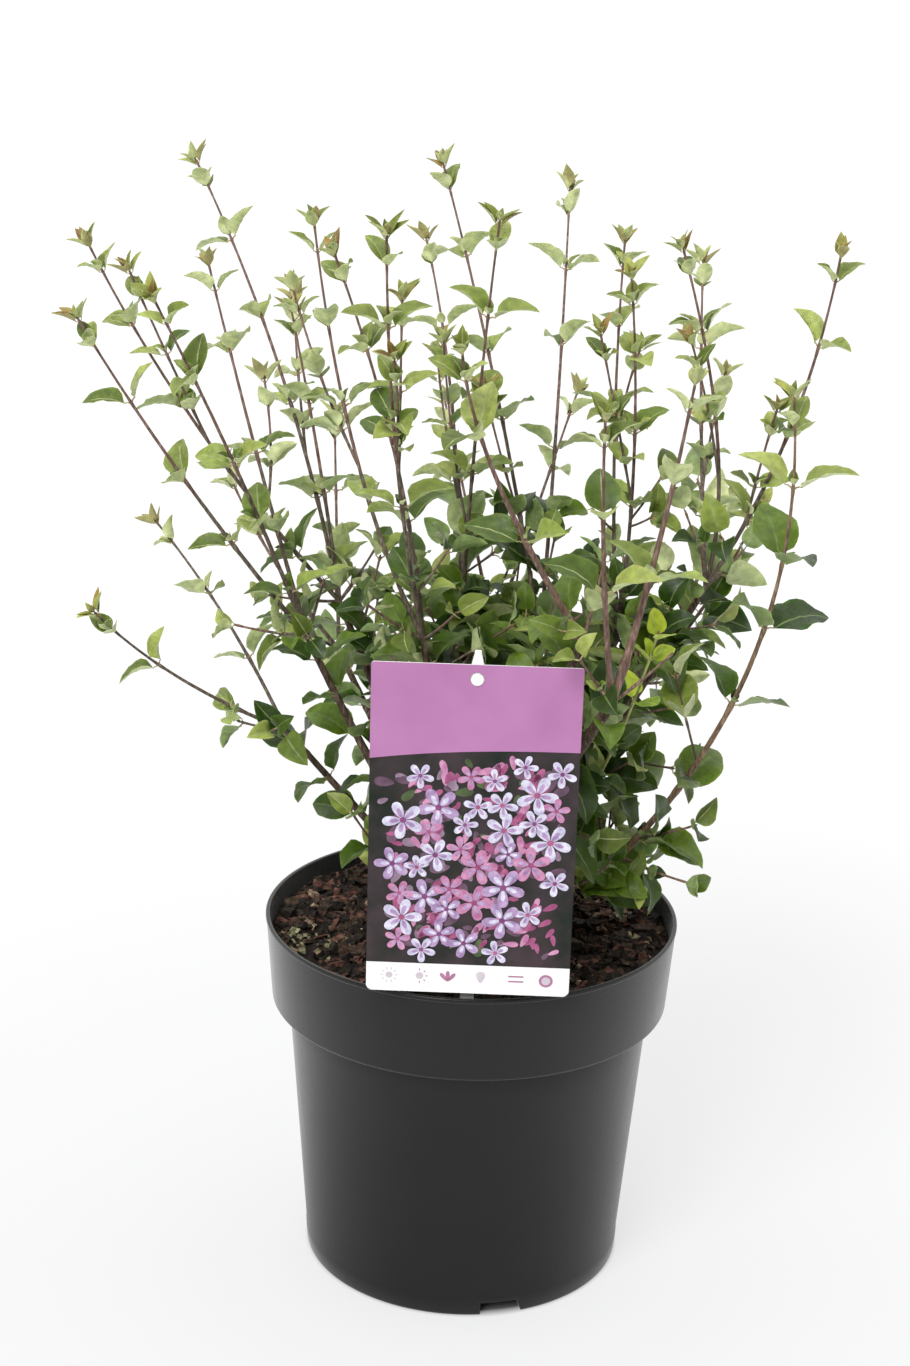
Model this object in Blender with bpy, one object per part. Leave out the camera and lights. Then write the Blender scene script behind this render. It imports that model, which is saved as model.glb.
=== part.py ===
# Dwarf lilac growing in a black nursery pot, with a plant label held on a stick.
# Frame: the origin is the middle of the pot's flat underside, +Z is up, and the label faces -Y.

import math
import random

import bmesh
import bpy
from mathutils import Matrix, Vector
from mathutils.bvhtree import BVHTree

MM = 0.001
GAP = 0.3
SEED = 19

# Pot, in millimetres: a tapered wall under a wide collar, on a foot ring with drain notches.
RIM_RADIUS = 95.0
RIM_TOP = 168.5
LIP_HEIGHT = 1.6
LIP_PROUD = 0.4
COLLAR_FOOT = 128.0
COLLAR_FOOT_RADIUS = 91.6
WALL_TOP_RADIUS = 83.9
FOOT_RADIUS = 74.1
FOOT_ROUND = 2.0
WALL = 1.5
FLOOR = 2.0
GROOVE_DEPTH = 6.2
GROOVE_RADII = (40.0, 58.0)
FOOT_INNER = 60.0
NOTCH_WIDTH = 20.0
NOTCH_TOP_WIDTH = 14.0
NOTCH_COUNT = 3
NOTCH_TURN = -74.4
DRAIN_COUNT = 6
DRAIN_RADIUS = 3.5
DRAIN_SIDES = 10
POT_SIDES = 44
RING_SIDES = 16

# Soil
SOIL_TOP = 161.0

# Label card and its stick
CARD_WIDTH = 86.5
CARD_HEIGHT = 150.8
CARD_THICK = 0.5
CARD_BOTTOM = 172.6
CARD_FRONT = -96.5
CARD_LEAN = 3.6
CARD_TURN = -0.4
CARD_CORNERS = (2.8, 1.2)
HOLE_RADIUS = 3.0
HOLE_DROP = 6.3
PEG_RADIUS = 2.6
PEG_PROUD = 0.6
STICK_WIDTH = 6.0
STICK_THICK = 2.0
STICK_ABOVE_CARD = 5.5
STICK_TIP_WIDTH = 2.4
STICK_BURIED = 32.0
STICK_SOIL_Y = -82.0
STICK_CARD_GAP = 0.9

# Crown: the short woody stem at the soil that every bough leaves
CROWN_HEIGHT = 38.0
CROWN_LEAN = (-1.5, 1.0)
CROWN_PROFILE = ((0.0, 15.5), (2.5, 13.0), (7.0, 11.4), (16.0, 10.4), (26.0, 10.0), (33.0, 7.6), (37.0, 3.6))
CROWN_FLARES = 5
CROWN_FLARE_DEPTH = 0.16
CROWN_SIDES = 15
LIMB_SUNK = 4.5

# Boughs and shoots
BOUGH_FOOT_RADIUS = 2.2
BOUGH_SIDES = 6
BOUGH_STEPS = 6
FORK_LENGTH = 7.0
FORK_SIDES = 5
FORK_SWELL = 0.4
LEAST_TAPER = 0.3
SHOOT_SUNK = 2.0
SHOOT_STEPS = 4
SHOOT_TIP_RADIUS = 0.45
TWIG_SIDES = 3

# Leaves: opposite pairs, each pair turned a quarter from the last
LEAF_WIDEST = 0.42
LEAF_RISE = 0.06
LEAF_KEEL = 0.08
LEAF_LENGTHS = (0.85, 1.12)
LEAF_WIDTHS = (0.5, 0.62)
TIP_LEAF = 12.0
FULL_LEAF_AT = 48.0
LEAF_ANGLES = (38.0, 62.0)
FULL_ANGLE_AT = 40.0
ANGLE_SPREAD = (0.85, 1.2)
PAIR_TURN_SPREAD = 14.0
LEAF_TURN_SPREAD = 9.0
FIRST_NODES = (3.0, 14.0)
NODE_GROWTH = 2.6
NODE_SPREAD = (0.94, 1.06)
BARE_FOOT = 6.0

# Short shoots that splay round a fork, and how they lean from it
SHORT_COUNT = 3
SHORT_LENGTH = (34.0, 56.0)
SHORT_LEAN = (38.0, 68.0)
SHORT_TURN_SPREAD = 23.0
SHORT_SHAPE = {"girth": 0.8, "leaf": 25.0, "node": 22.0}

# Each mass draws its chances from numbered streams of its own, one to a shoot, this far apart
STREAMS = 100

# Room kept between parts, height kept above the soil, and the least volume a union must keep
CLEARANCE = 0.35
SOIL_CLEARANCE = 1.5
FUSED_SHARE = 0.5


class Shoot:
    """One long shoot of a fan: where its tip is, how it bows from a straight line, and its sizes."""

    def __init__(self, tip, bow=(0, 0), girth=1.1, leaf=21.5, node=40.0):
        self.tip = Vector(tip)
        self.bow = Vector((bow[0], 0, bow[1]))
        self.girth = girth
        self.leaf = leaf
        self.node = node


class Fan:
    """A bough from the crown and the mass of shoots that leaves its tip, the fork."""

    def __init__(self, fork, foot, shoots, bow=(0, 0), shorts=SHORT_COUNT):
        self.fork = Vector(fork)
        self.foot = foot
        self.shoots = shoots
        self.bow = Vector((bow[0], 0, bow[1]))
        self.shorts = shorts


# Fans by name. fork and tip are places in millimetres, foot is the bough's height on the crown.
FANS = {
    "left_low": Fan((-74, -20, 301), 18, [
        Shoot((-171, -45, 448), (-7, -2)),
        Shoot((-134, -85, 464), (1, 8)),
        Shoot((-125, 30, 460), (-2, 0)),
    ], bow=(-2, -6)),
    "left_high": Fan((-63, 30, 302), 22, [
        Shoot((-176, 20, 468), (-14, -5), leaf=22.5),
        Shoot((-139, 105, 495), (13, 5)),
        Shoot((-91, 60, 436), (3, -3)),
    ]),
    "mid_left": Fan((-24, -35, 306), 30, [
        Shoot((-76, -10, 485), (-11, -20)),
        Shoot((-65, -50, 479), (12, 0)),
        Shoot((-42, -90, 493), (-8, -5), leaf=22.5),
    ]),
    "middle": Fan((-9, 45, 286), 31, [
        Shoot((-32, 110, 462), (8, 20)),
        Shoot((2, 10, 485), (-3, 3), leaf=22.5),
    ]),
    "tall": Fan((26, 25, 288), 31, [
        Shoot((-24, 60, 503), (5, 6), leaf=23.5),
        Shoot((35, 135, 484), (2, 1), leaf=22.5),
    ]),
    "front_mid": Fan((41, -75, 321), 30, [
        Shoot((-11, -110, 452), (-22, 15), girth=1.7, leaf=27, node=44),
    ], shorts=2),
    "front_right": Fan((53, -95, 302), 20, [
        Shoot((45, -125, 431), (-4, -1), girth=1.5, leaf=26),
        Shoot((82, -85, 438), (3, -7), girth=1.9, leaf=25),
    ], shorts=2),
    "right_back": Fan((62, 65, 277), 20, [
        Shoot((60, 90, 467), (-6, 2)),
        Shoot((60, 20, 462), (9, 4), leaf=22.5),
    ]),
    "right": Fan((98, 20, 318), 19, [
        Shoot((83, 40, 472), (22, -20)),
        Shoot((98, 110, 455), (-3, 2)),
        Shoot((146, -10, 479), (15, -8), leaf=21),
    ], bow=(4, -6), shorts=2),
    "far_right": Fan((62, -18, 203), 7, [
        Shoot((125, -55, 427), (47, -10), girth=1.55, leaf=32, node=36),
    ], bow=(2, -4), shorts=1),
    "low_left": Fan((-82, -20, 258), 9, [
        Shoot((-164, -55, 324), (-12, -5), girth=0.9, leaf=19),
        Shoot((-150, 35, 341), (5, 6), girth=0.9, leaf=19),
    ], shorts=2),
    "back_left": Fan((-66, 84, 262), 10, [
        Shoot((-128, 128, 346), (-8, -4)),
        Shoot((-76, 150, 368), (0, 0)),
    ]),
    "back": Fan((6, 100, 268), 12, [
        Shoot((-22, 168, 372), (0, 0)),
        Shoot((44, 164, 380), (0, 0)),
    ]),
    "back_right": Fan((74, 78, 252), 9, [
        Shoot((118, 120, 338), (6, -4)),
        Shoot((128, 66, 350), (8, -6)),
    ]),
}


# Low leafy shoots that leave the crown itself: tip in millimetres and height of the foot
LOW_SHOOTS = {
    "low_front_left": (Shoot((-58, -58, 246), (-4, -10), leaf=25, node=24), 8),
    "low_front_right": (Shoot((66, -62, 226), (4, -10), leaf=25, node=24), 8),
    "low_right_young": (Shoot((74, -66, 326), (14, -22), girth=1.2, leaf=16, node=24), 12),
    "inner_front": (Shoot((-6, -56, 300), (2, -8), leaf=28, node=22), 22),
    "inner_back": (Shoot((-34, 74, 262), (2, -8), leaf=27, node=22), 21),
    "inner_left": (Shoot((-40, 8, 290), (-6, -6), leaf=28, node=22), 32),
    "inner_right": (Shoot((62, 8, 292), (6, -8), leaf=28, node=22), 32),
    "centre_left": (Shoot((-30, -16, 352), (-4, -4), leaf=28, node=22), 34),
    "centre_right": (Shoot((36, -30, 350), (-4, -4), leaf=28, node=22), 26),
    "centre_back": (Shoot((18, 50, 342), (2, -6), leaf=28, node=22), 33),
}


def clear_scene():
    """Empties the scene."""
    for obj in list(bpy.data.objects):
        bpy.data.objects.remove(obj, do_unlink=True)


def material(name, colour, roughness, metallic=0.0):
    """A plain Principled material."""
    made = bpy.data.materials.new(name)
    made.use_nodes = True
    shader = made.node_tree.nodes["Principled BSDF"]
    shader.inputs["Base Color"].default_value = (*colour, 1)
    shader.inputs["Roughness"].default_value = roughness
    shader.inputs["Metallic"].default_value = metallic
    return made


def new_object(name, points, faces, finish=None):
    """An object from points in millimetres."""
    mesh = bpy.data.meshes.new(name)
    mesh.from_pydata([Vector(point) * MM for point in points], [], faces)
    if finish:
        mesh.materials.append(finish)
    obj = bpy.data.objects.new(name, mesh)
    bpy.context.scene.collection.objects.link(obj)
    return obj


def smooth(obj, angle=40):
    """Shades a round piece smooth, with sharp edges where its faces turn by more than the angle."""
    obj.data.shade_smooth()
    obj.data.set_sharp_from_angle(angle=math.radians(angle))


def apply_boolean(obj, operation, operand, solvers=("EXACT",), least=0.0):
    """Cuts or joins an object or a collection, applies the result and removes what was used.

    The next solver is tried where one leaves less than the least volume, in cubic metres.
    """
    boolean = obj.modifiers.new(operation.title(), "BOOLEAN")
    boolean.operation = operation
    if isinstance(operand, bpy.types.Collection):
        boolean.operand_type = "COLLECTION"
        boolean.collection = operand
        used = list(operand.objects)
    else:
        boolean.object = operand
        used = [operand]
    for solver in solvers:
        boolean.solver = solver
        bpy.context.view_layer.update()
        graph = bpy.context.evaluated_depsgraph_get()
        result = bpy.data.meshes.new_from_object(obj.evaluated_get(graph))
        if volume_of(result) > least:
            break
    obj.modifiers.clear()
    obj.data = result
    for other in used:
        bpy.data.objects.remove(other, do_unlink=True)
    if isinstance(operand, bpy.types.Collection):
        bpy.data.collections.remove(operand)


def volume_of(mesh):
    """The volume a closed mesh holds."""
    form = bmesh.new()
    form.from_mesh(mesh)
    volume = form.calc_volume(signed=True)
    form.free()
    return volume


def collection_of(objects):
    """Moves the objects into a collection of their own."""
    made = bpy.data.collections.new("to_join")
    bpy.context.scene.collection.children.link(made)
    for obj in objects:
        bpy.context.scene.collection.objects.unlink(obj)
        made.objects.link(obj)
    return made


def turned(profile, sides):
    """Points and faces of a closed profile of (radius, height) turned round Z. Its ends lie on the axis."""
    points = []
    rings = []
    for radius, height in profile:
        if radius == 0:
            rings.append([len(points)])
            points.append((0, 0, height))
            continue
        rings.append(list(range(len(points), len(points) + sides)))
        for k in range(sides):
            angle = math.tau * k / sides
            points.append((radius * math.cos(angle), radius * math.sin(angle), height))
    faces = []
    for low, high in zip(rings, rings[1:]):
        for k in range(sides):
            n = (k + 1) % sides
            if len(low) == 1:
                faces.append((low[0], high[n], high[k]))
            elif len(high) == 1:
                faces.append((low[k], low[n], high[0]))
            else:
                faces.append((low[k], low[n], high[n], high[k]))
    return points, faces


def box(low, high):
    """Points and faces of a box."""
    points = [(x, y, z) for x in (low[0], high[0]) for y in (low[1], high[1]) for z in (low[2], high[2])]
    faces = [(0, 1, 3, 2), (4, 6, 7, 5), (0, 4, 5, 1), (2, 3, 7, 6), (0, 2, 6, 4), (1, 5, 7, 3)]
    return points, faces


def outline_prism(outline, low, high):
    """Points and faces of an (x, z) outline, anticlockwise seen from -Y, between two y values."""
    count = len(outline)
    points = [(x, low, z) for x, z in outline] + [(x, high, z) for x, z in outline]
    faces = [tuple(range(count)), tuple(range(2 * count - 1, count - 1, -1))]
    for k in range(count):
        n = (k + 1) % count
        faces.append((k, k + count, n + count, n))
    return points, faces


def ring(radius, height):
    """The (x, z) outline of a small round hole or peg, anticlockwise."""
    angles = [math.tau * k / RING_SIDES for k in range(RING_SIDES)]
    return [(radius * math.cos(angle), height + radius * math.sin(angle)) for angle in angles]


def wall_radius(height):
    """The inside radius of the pot at a height above its floor."""
    if height >= COLLAR_FOOT + WALL:
        share = (height - COLLAR_FOOT) / (RIM_TOP - COLLAR_FOOT)
        return COLLAR_FOOT_RADIUS + share * (RIM_RADIUS - LIP_PROUD - COLLAR_FOOT_RADIUS) - WALL
    return FOOT_RADIUS + height / COLLAR_FOOT * (WALL_TOP_RADIUS - FOOT_RADIUS) - WALL


def make_pot(finish):
    """The thin-walled pot: centre disc and foot ring at z = 0, groove with drain holes, notches."""
    inner, outer = GROOVE_RADII
    deck = GROOVE_DEPTH + FLOOR
    shelf = COLLAR_FOOT + WALL
    profile = [
        (0, 0), (inner - 2, 0), (inner, GROOVE_DEPTH), (outer, GROOVE_DEPTH), (FOOT_INNER, 0),
        (FOOT_RADIUS - FOOT_ROUND, 0), (FOOT_RADIUS + 0.15, FOOT_ROUND),
        (WALL_TOP_RADIUS, COLLAR_FOOT), (COLLAR_FOOT_RADIUS, COLLAR_FOOT),
        (RIM_RADIUS - LIP_PROUD, RIM_TOP - LIP_HEIGHT - LIP_PROUD), (RIM_RADIUS, RIM_TOP - LIP_HEIGHT),
        (RIM_RADIUS, RIM_TOP), (wall_radius(RIM_TOP), RIM_TOP),
        (wall_radius(shelf), shelf), (wall_radius(shelf - 0.01) + 0.8, shelf),
        (wall_radius(shelf - 1.2), shelf - 1.2),
        (wall_radius(deck), deck), (inner, deck), (inner - 3, FLOOR), (0, FLOOR),
    ]
    pot = new_object("pot", *turned(profile, POT_SIDES), finish)
    cutters = []
    for k in range(NOTCH_COUNT):
        half, top = NOTCH_WIDTH / 2, NOTCH_TOP_WIDTH / 2
        outline = [(-half, -1.0), (half, -1.0), (top, GROOVE_DEPTH + 0.5), (-half, GROOVE_DEPTH + 0.5)]
        notch = new_object("notch", *outline_prism(outline, -FOOT_RADIUS - 6, -FOOT_INNER + 4))
        notch.rotation_euler.z = math.radians(90 + NOTCH_TURN + k * 360 / NOTCH_COUNT)
        cutters.append(notch)
    low, high = GROOVE_DEPTH - 1, deck + 1
    plug = [(0, low), (DRAIN_RADIUS, low), (DRAIN_RADIUS, high), (0, high)]
    for k in range(DRAIN_COUNT):
        drain = new_object("drain", *turned(plug, DRAIN_SIDES))
        angle = math.radians(NOTCH_TURN + k * 360 / DRAIN_COUNT)
        middle = sum(GROOVE_RADII) / 2 * MM
        drain.location = (middle * math.cos(angle), middle * math.sin(angle), 0)
        cutters.append(drain)
    for cutter in cutters:
        apply_boolean(pot, "DIFFERENCE", cutter)
    smooth(pot)
    return pot


def stick_frame():
    """Where the stick leaves the soil, its direction, and the direction its face looks in."""
    card = card_matrix()
    hole = card @ Vector((0, 0, CARD_HEIGHT - HOLE_DROP))
    behind = CARD_THICK / 2 + STICK_CARD_GAP + STICK_THICK / 2
    through = hole + (card.to_3x3() @ Vector((0, 1, 0))) * behind
    start = Vector((through.x, STICK_SOIL_Y, SOIL_TOP))
    along = (through - start).normalized()
    side = Vector((1, 0, 0))
    back = along.cross(side).normalized()
    return start, along, side, back


def card_matrix():
    """Places the card, modelled upright on its bottom edge, in front of the rim."""
    place = Matrix.Translation((-0.7, CARD_FRONT, CARD_BOTTOM))
    turn = Matrix.Rotation(math.radians(CARD_TURN), 4, "Z")
    return place @ turn @ Matrix.Rotation(math.radians(CARD_LEAN), 4, "X")


def rounded_card():
    """The card's (x, z) outline with rounded corners, anticlockwise."""
    low, high = CARD_CORNERS
    half = CARD_WIDTH / 2
    corners = [(half - low, low, low, 270), (half - high, CARD_HEIGHT - high, high, 0),
               (high - half, CARD_HEIGHT - high, high, 90), (low - half, low, low, 180)]
    outline = []
    for x, z, radius, first in corners:
        for step in range(5):
            angle = math.radians(first + step * 22.5)
            outline.append((x + radius * math.cos(angle), z + radius * math.sin(angle)))
    return outline


def make_card(finish):
    """The thin label card with its hanging hole."""
    card = new_object("label_card", *outline_prism(rounded_card(), -CARD_THICK / 2, CARD_THICK / 2), finish)
    hole = new_object("hole", *outline_prism(ring(HOLE_RADIUS, CARD_HEIGHT - HOLE_DROP), -2, 2))
    apply_boolean(card, "DIFFERENCE", hole)
    place_mesh(card, card_matrix())
    return card


def place_mesh(obj, matrix):
    """Moves an object's mesh by a matrix in millimetres."""
    scaled = matrix.copy()
    scaled.translation = matrix.translation * MM
    obj.data.transform(scaled)
    obj.data.update()


def make_stick(finish):
    """The flat stick that stands in the soil behind the card, with the peg the card hangs on."""
    start, along, side, back = stick_frame()
    card = card_matrix()
    top = (card @ Vector((0, 0, CARD_HEIGHT))).z + STICK_ABOVE_CARD
    rise = (top - start.z) / along.z
    half, tip = STICK_WIDTH / 2, STICK_TIP_WIDTH / 2
    outline = [(0, -STICK_BURIED), (half, -STICK_BURIED + 12), (half, rise - 8), (tip, rise), (-tip, rise),
               (-half, rise - 8), (-half, -STICK_BURIED + 12)]
    stick = new_object("label_stick", *outline_prism(outline, -STICK_THICK / 2, STICK_THICK / 2), finish)
    frame = Matrix((side, back, along)).transposed().to_4x4()
    frame.translation = start
    place_mesh(stick, frame)
    reach = CARD_THICK / 2 + STICK_CARD_GAP + STICK_THICK / 2
    peg = new_object("peg", *outline_prism(ring(PEG_RADIUS, 0), -CARD_THICK / 2 - PEG_PROUD, reach))
    place_mesh(peg, card @ Matrix.Translation((0, 0, CARD_HEIGHT - HOLE_DROP)))
    apply_boolean(stick, "UNION", peg)
    return stick


def make_soil(finish):
    """The potting soil, 0.3 mm clear of the pot, with a socket for the stick."""
    deck = GROOVE_DEPTH + FLOOR
    shelf = COLLAR_FOOT + WALL
    inner = GROOVE_RADII[0]
    profile = [
        (0, FLOOR + GAP), (inner - 3 - GAP, FLOOR + GAP), (inner - GAP, deck + GAP),
        (wall_radius(deck) - GAP, deck + GAP), (wall_radius(shelf - 1.2) - GAP, shelf - 1.2),
        (wall_radius(shelf - 1.2) + 0.3, shelf + GAP),
        (wall_radius(shelf) - GAP, shelf + GAP), (wall_radius(SOIL_TOP) - GAP, SOIL_TOP), (0, SOIL_TOP),
    ]
    soil = new_object("soil", *turned(profile, POT_SIDES), finish)
    start, along, side, back = stick_frame()
    half, deep = STICK_WIDTH / 2 + GAP, STICK_THICK / 2 + GAP
    socket = new_object("socket", *box((-half, -deep, -STICK_BURIED - 1), (half, deep, 10)))
    frame = Matrix((side, back, along)).transposed().to_4x4()
    frame.translation = start
    place_mesh(socket, frame)
    apply_boolean(soil, "DIFFERENCE", socket)
    return soil


def bezier(start, middle, end, share):
    """A point on a quadratic curve."""
    rest = 1 - share
    return start * rest * rest + middle * 2 * share * rest + end * share * share


def curve_points(start, end, bow, steps):
    """Points along the curve between two places that bows off the straight line."""
    middle = (start + end) / 2 + bow
    return [bezier(start, middle, end, k / steps) for k in range(steps + 1)]


def tube(points, radii, sides):
    """Points and faces of a tapering limb with flat ends."""
    made = []
    side = None
    for k, point in enumerate(points):
        before, after = points[max(k - 1, 0)], points[min(k + 1, len(points) - 1)]
        along = (after - before).normalized()
        reference = side if side else Vector((0.3, 1, 0.2))
        side = (reference - along * reference.dot(along)).normalized()
        across = along.cross(side)
        for n in range(sides):
            angle = math.tau * n / sides
            made.append(point + (side * math.cos(angle) + across * math.sin(angle)) * radii[k])
    faces = [tuple(range(sides - 1, -1, -1)), tuple(range(len(made) - sides, len(made)))]
    for k in range(len(points) - 1):
        for n in range(sides):
            m = (n + 1) % sides
            low, high = k * sides, (k + 1) * sides
            faces.append((low + n, low + m, high + m, high + n))
    return made, faces


def tapered(first, last, steps):
    """Radii that shrink evenly along a limb."""
    return [first + (last - first) * k / steps for k in range(steps + 1)]


def leaf_shell(foot, along, face, length, width):
    """A keeled leaf of six faces, from a foot inside its twig to its pointed tip."""
    across = along.cross(face)
    widest = foot + along * length * LEAF_WIDEST
    edge = across * width / 2
    rise = face * width * LEAF_RISE
    keel = widest - face * width * LEAF_KEEL
    points = [foot, widest - edge + rise, widest + edge + rise, foot + along * length, keel]
    faces = [(0, 2, 1), (1, 2, 3), (0, 1, 4), (2, 0, 4), (1, 3, 4), (3, 2, 4)]
    return points, faces


def shoot_nodes(length, node):
    """Distances from a shoot's tip to its leaf pairs, close at the tip and wider below."""
    found = list(FIRST_NODES)
    step = FIRST_NODES[1] - FIRST_NODES[0]
    while found[-1] < length:
        step = min(step * NODE_GROWTH, node)
        found.append(found[-1] + step)
    return [distance for distance in found if distance < length - BARE_FOOT]


def side_directions(along):
    """Two directions across a limb, the first one level."""
    level = Vector((0, 0, 1)).cross(along)
    level = level.normalized() if level.length > 0.05 else Vector((1, 0, 0))
    return level, along.cross(level)


def place_along(points, distance):
    """The place at a distance up from the foot of a limb, and the limb's direction there."""
    for low, high in zip(points, points[1:]):
        span = (high - low).length
        if distance <= span:
            break
        distance -= span
    share = max(0.0, min(1.0, distance / span))
    return low.lerp(high, share), (high - low).normalized()


def shoot_leaves(points, shoot, draw):
    """(foot, direction, face, length, width) of each leaf along a shoot, from its tip down."""
    total = sum((high - low).length for low, high in zip(points, points[1:]))
    leaves = []
    turn = draw.uniform(0, math.pi)
    for distance in shoot_nodes(total, shoot.node):
        place, along = place_along(points, total - distance * draw.uniform(*NODE_SPREAD))
        level, across = side_directions(along)
        size = TIP_LEAF + (shoot.leaf - TIP_LEAF) * min(1.0, distance / FULL_LEAF_AT)
        opening = LEAF_ANGLES[0] + (LEAF_ANGLES[1] - LEAF_ANGLES[0]) * min(1.0, distance / FULL_ANGLE_AT)
        turn += math.radians(90 + draw.uniform(-PAIR_TURN_SPREAD, PAIR_TURN_SPREAD))
        for opposite in (0, math.pi):
            angle = turn + opposite + math.radians(draw.uniform(-LEAF_TURN_SPREAD, LEAF_TURN_SPREAD))
            out = level * math.cos(angle) + across * math.sin(angle)
            opened = math.radians(opening * draw.uniform(*ANGLE_SPREAD))
            direction = (along * math.cos(opened) + out * math.sin(opened)).normalized()
            face = (along - direction * along.dot(direction)).normalized()
            length = size * draw.uniform(*LEAF_LENGTHS)
            leaves.append((place, direction, face, length, length * draw.uniform(*LEAF_WIDTHS)))
    return leaves


def short_shoots(fork, along, count, draw):
    """Short leafy shoots that splay round a fork and fill the inside of the plant."""
    level, across = side_directions(along)
    made = []
    first = draw.uniform(0, 360)
    for k in range(count):
        angle = math.radians(first + 360 * k / count + draw.uniform(-SHORT_TURN_SPREAD, SHORT_TURN_SPREAD))
        lean = math.radians(draw.uniform(*SHORT_LEAN))
        out = level * math.cos(angle) + across * math.sin(angle)
        direction = along * math.cos(lean) + out * math.sin(lean)
        made.append(Shoot(fork + direction * draw.uniform(*SHORT_LENGTH), (0, -3), **SHORT_SHAPE))
    return made


class Room:
    """The space already taken, by node, and whether a new piece fits beside it, above the soil."""

    def __init__(self):
        self.taken = []

    def add(self, node, points, faces):
        middle = sum(points, Vector()) / len(points)
        reach = max((point - middle).length for point in points)
        self.taken.append((node, middle, reach, BVHTree.FromPolygons(points, faces)))

    def fits(self, node, points, faces, beside=None):
        middle = sum(points, Vector()) / len(points)
        swollen = [point + (point - middle).normalized() * CLEARANCE for point in points]
        reach = max((point - middle).length for point in swollen)
        tree = BVHTree.FromPolygons(swollen, faces)
        for owner, centre, size, other in self.taken:
            if owner in (node, beside) or (centre - middle).length > reach + size:
                continue
            if tree.overlap(other):
                return False
        return all(point.z > SOIL_TOP + SOIL_CLEARANCE for point in swollen)


def crown_axis(height):
    """The crown's centre at a height above the soil, which leans a little."""
    share = height / CROWN_HEIGHT
    return Vector((CROWN_LEAN[0] * share, CROWN_LEAN[1] * share, SOIL_TOP + GAP + height))


def crown_radius(height):
    """The crown's plain radius at a height above the soil."""
    for (low, wide), (high, narrow) in zip(CROWN_PROFILE, CROWN_PROFILE[1:]):
        if height <= high:
            return wide + (narrow - wide) * (height - low) / (high - low)
    return CROWN_PROFILE[-1][1]


def crown_foot(target, height):
    """Where a limb that leads to the target starts, a little way inside the crown."""
    heading = math.atan2(target.y, target.x)
    out = Vector((math.cos(heading), math.sin(heading), 0))
    surface = crown_axis(height) + out * crown_radius(height)
    along = (target - surface).normalized()
    return surface - along * LIMB_SUNK


def crown_body(swell):
    """Points and faces of the crown, swollen evenly: root flares at the soil, a blunt top."""
    points = []
    for height, radius in CROWN_PROFILE:
        lobes = CROWN_FLARE_DEPTH * max(0.0, 1 - height / 12.0)
        for k in range(CROWN_SIDES):
            angle = math.tau * k / CROWN_SIDES
            reach = radius * (1 + lobes * math.cos(CROWN_FLARES * angle)) + swell
            points.append(crown_axis(height) + Vector((math.cos(angle), math.sin(angle), 0)) * reach)
    points.append(crown_axis(CROWN_HEIGHT) + Vector((0, 0, swell)))
    faces = [tuple(range(CROWN_SIDES - 1, -1, -1))]
    for ring in range(len(CROWN_PROFILE) - 1):
        for k in range(CROWN_SIDES):
            n = (k + 1) % CROWN_SIDES
            low, high = ring * CROWN_SIDES, (ring + 1) * CROWN_SIDES
            faces.append((low + k, low + n, high + n, high + k))
    last = (len(CROWN_PROFILE) - 1) * CROWN_SIDES
    faces += [(last + k, last + (k + 1) % CROWN_SIDES, len(points) - 1) for k in range(CROWN_SIDES)]
    return points, faces


def keep_body(obj):
    """Keeps the largest outward body of a fused mesh, which fills its hollows and drops loose scraps."""
    form = bmesh.new()
    form.from_mesh(obj.data)
    bmesh.ops.remove_doubles(form, verts=form.verts, dist=1e-7)
    bmesh.ops.dissolve_limit(form, angle_limit=1e-4, verts=form.verts, edges=form.edges)
    bmesh.ops.triangulate(form, faces=form.faces)
    left = set(form.faces)
    bodies = []
    while left:
        edge = [left.pop()]
        body = set(edge)
        while edge:
            face = edge.pop()
            for side in face.edges:
                for near in side.link_faces:
                    if near in left:
                        left.discard(near)
                        body.add(near)
                        edge.append(near)
        volume = sum(f.verts[0].co.dot(f.verts[1].co.cross(f.verts[2].co)) for f in body)
        bodies.append((volume, len(bodies), body))
    best = max(bodies)[2]
    bmesh.ops.delete(form, geom=[face for face in form.faces if face not in best], context="FACES")
    bmesh.ops.delete(form, geom=[vert for vert in form.verts if not vert.link_faces], context="VERTS")
    form.to_mesh(obj.data)
    form.free()


def fuse(name, shells, finish):
    """One solid from overlapping shells, by a Boolean union on a collection of them."""
    first, rest = shells[0], shells[1:]
    body = new_object(name, *first, finish)
    others = [new_object("shell", *shell, finish) for shell in rest]
    least = FUSED_SHARE * sum(volume_of(obj.data) for obj in others)
    apply_boolean(body, "UNION", collection_of(others), ("MANIFOLD", "EXACT"), least)
    keep_body(body)
    return body


def make_bough(name, fan, finish, room):
    """A bough from the crown to its fork. Returns the stem of the mass beyond it and where that forks."""
    points = curve_points(crown_foot(fan.fork, fan.foot), fan.fork, fan.bow, BOUGH_STEPS)
    along = (points[-1] - points[-2]).normalized()
    girth = max(shoot.girth for shoot in fan.shoots)
    tip_radius = girth + FORK_SWELL
    foot_radius = max(BOUGH_FOOT_RADIUS, tip_radius + LEAST_TAPER)
    limb = tube(points, tapered(foot_radius, tip_radius, BOUGH_STEPS), BOUGH_SIDES)
    room.add("bough_" + name, *limb)
    bough = new_object("bough_" + name, *limb, finish)
    apply_boolean(bough, "DIFFERENCE", new_object("cutter", *crown_body(GAP)))
    keep_body(bough)
    smooth(bough)
    base = fan.fork + along * GAP
    top = base + along * FORK_LENGTH
    return tube([base, top], [tip_radius, girth], FORK_SIDES), top - along * SHOOT_SUNK, along


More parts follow.
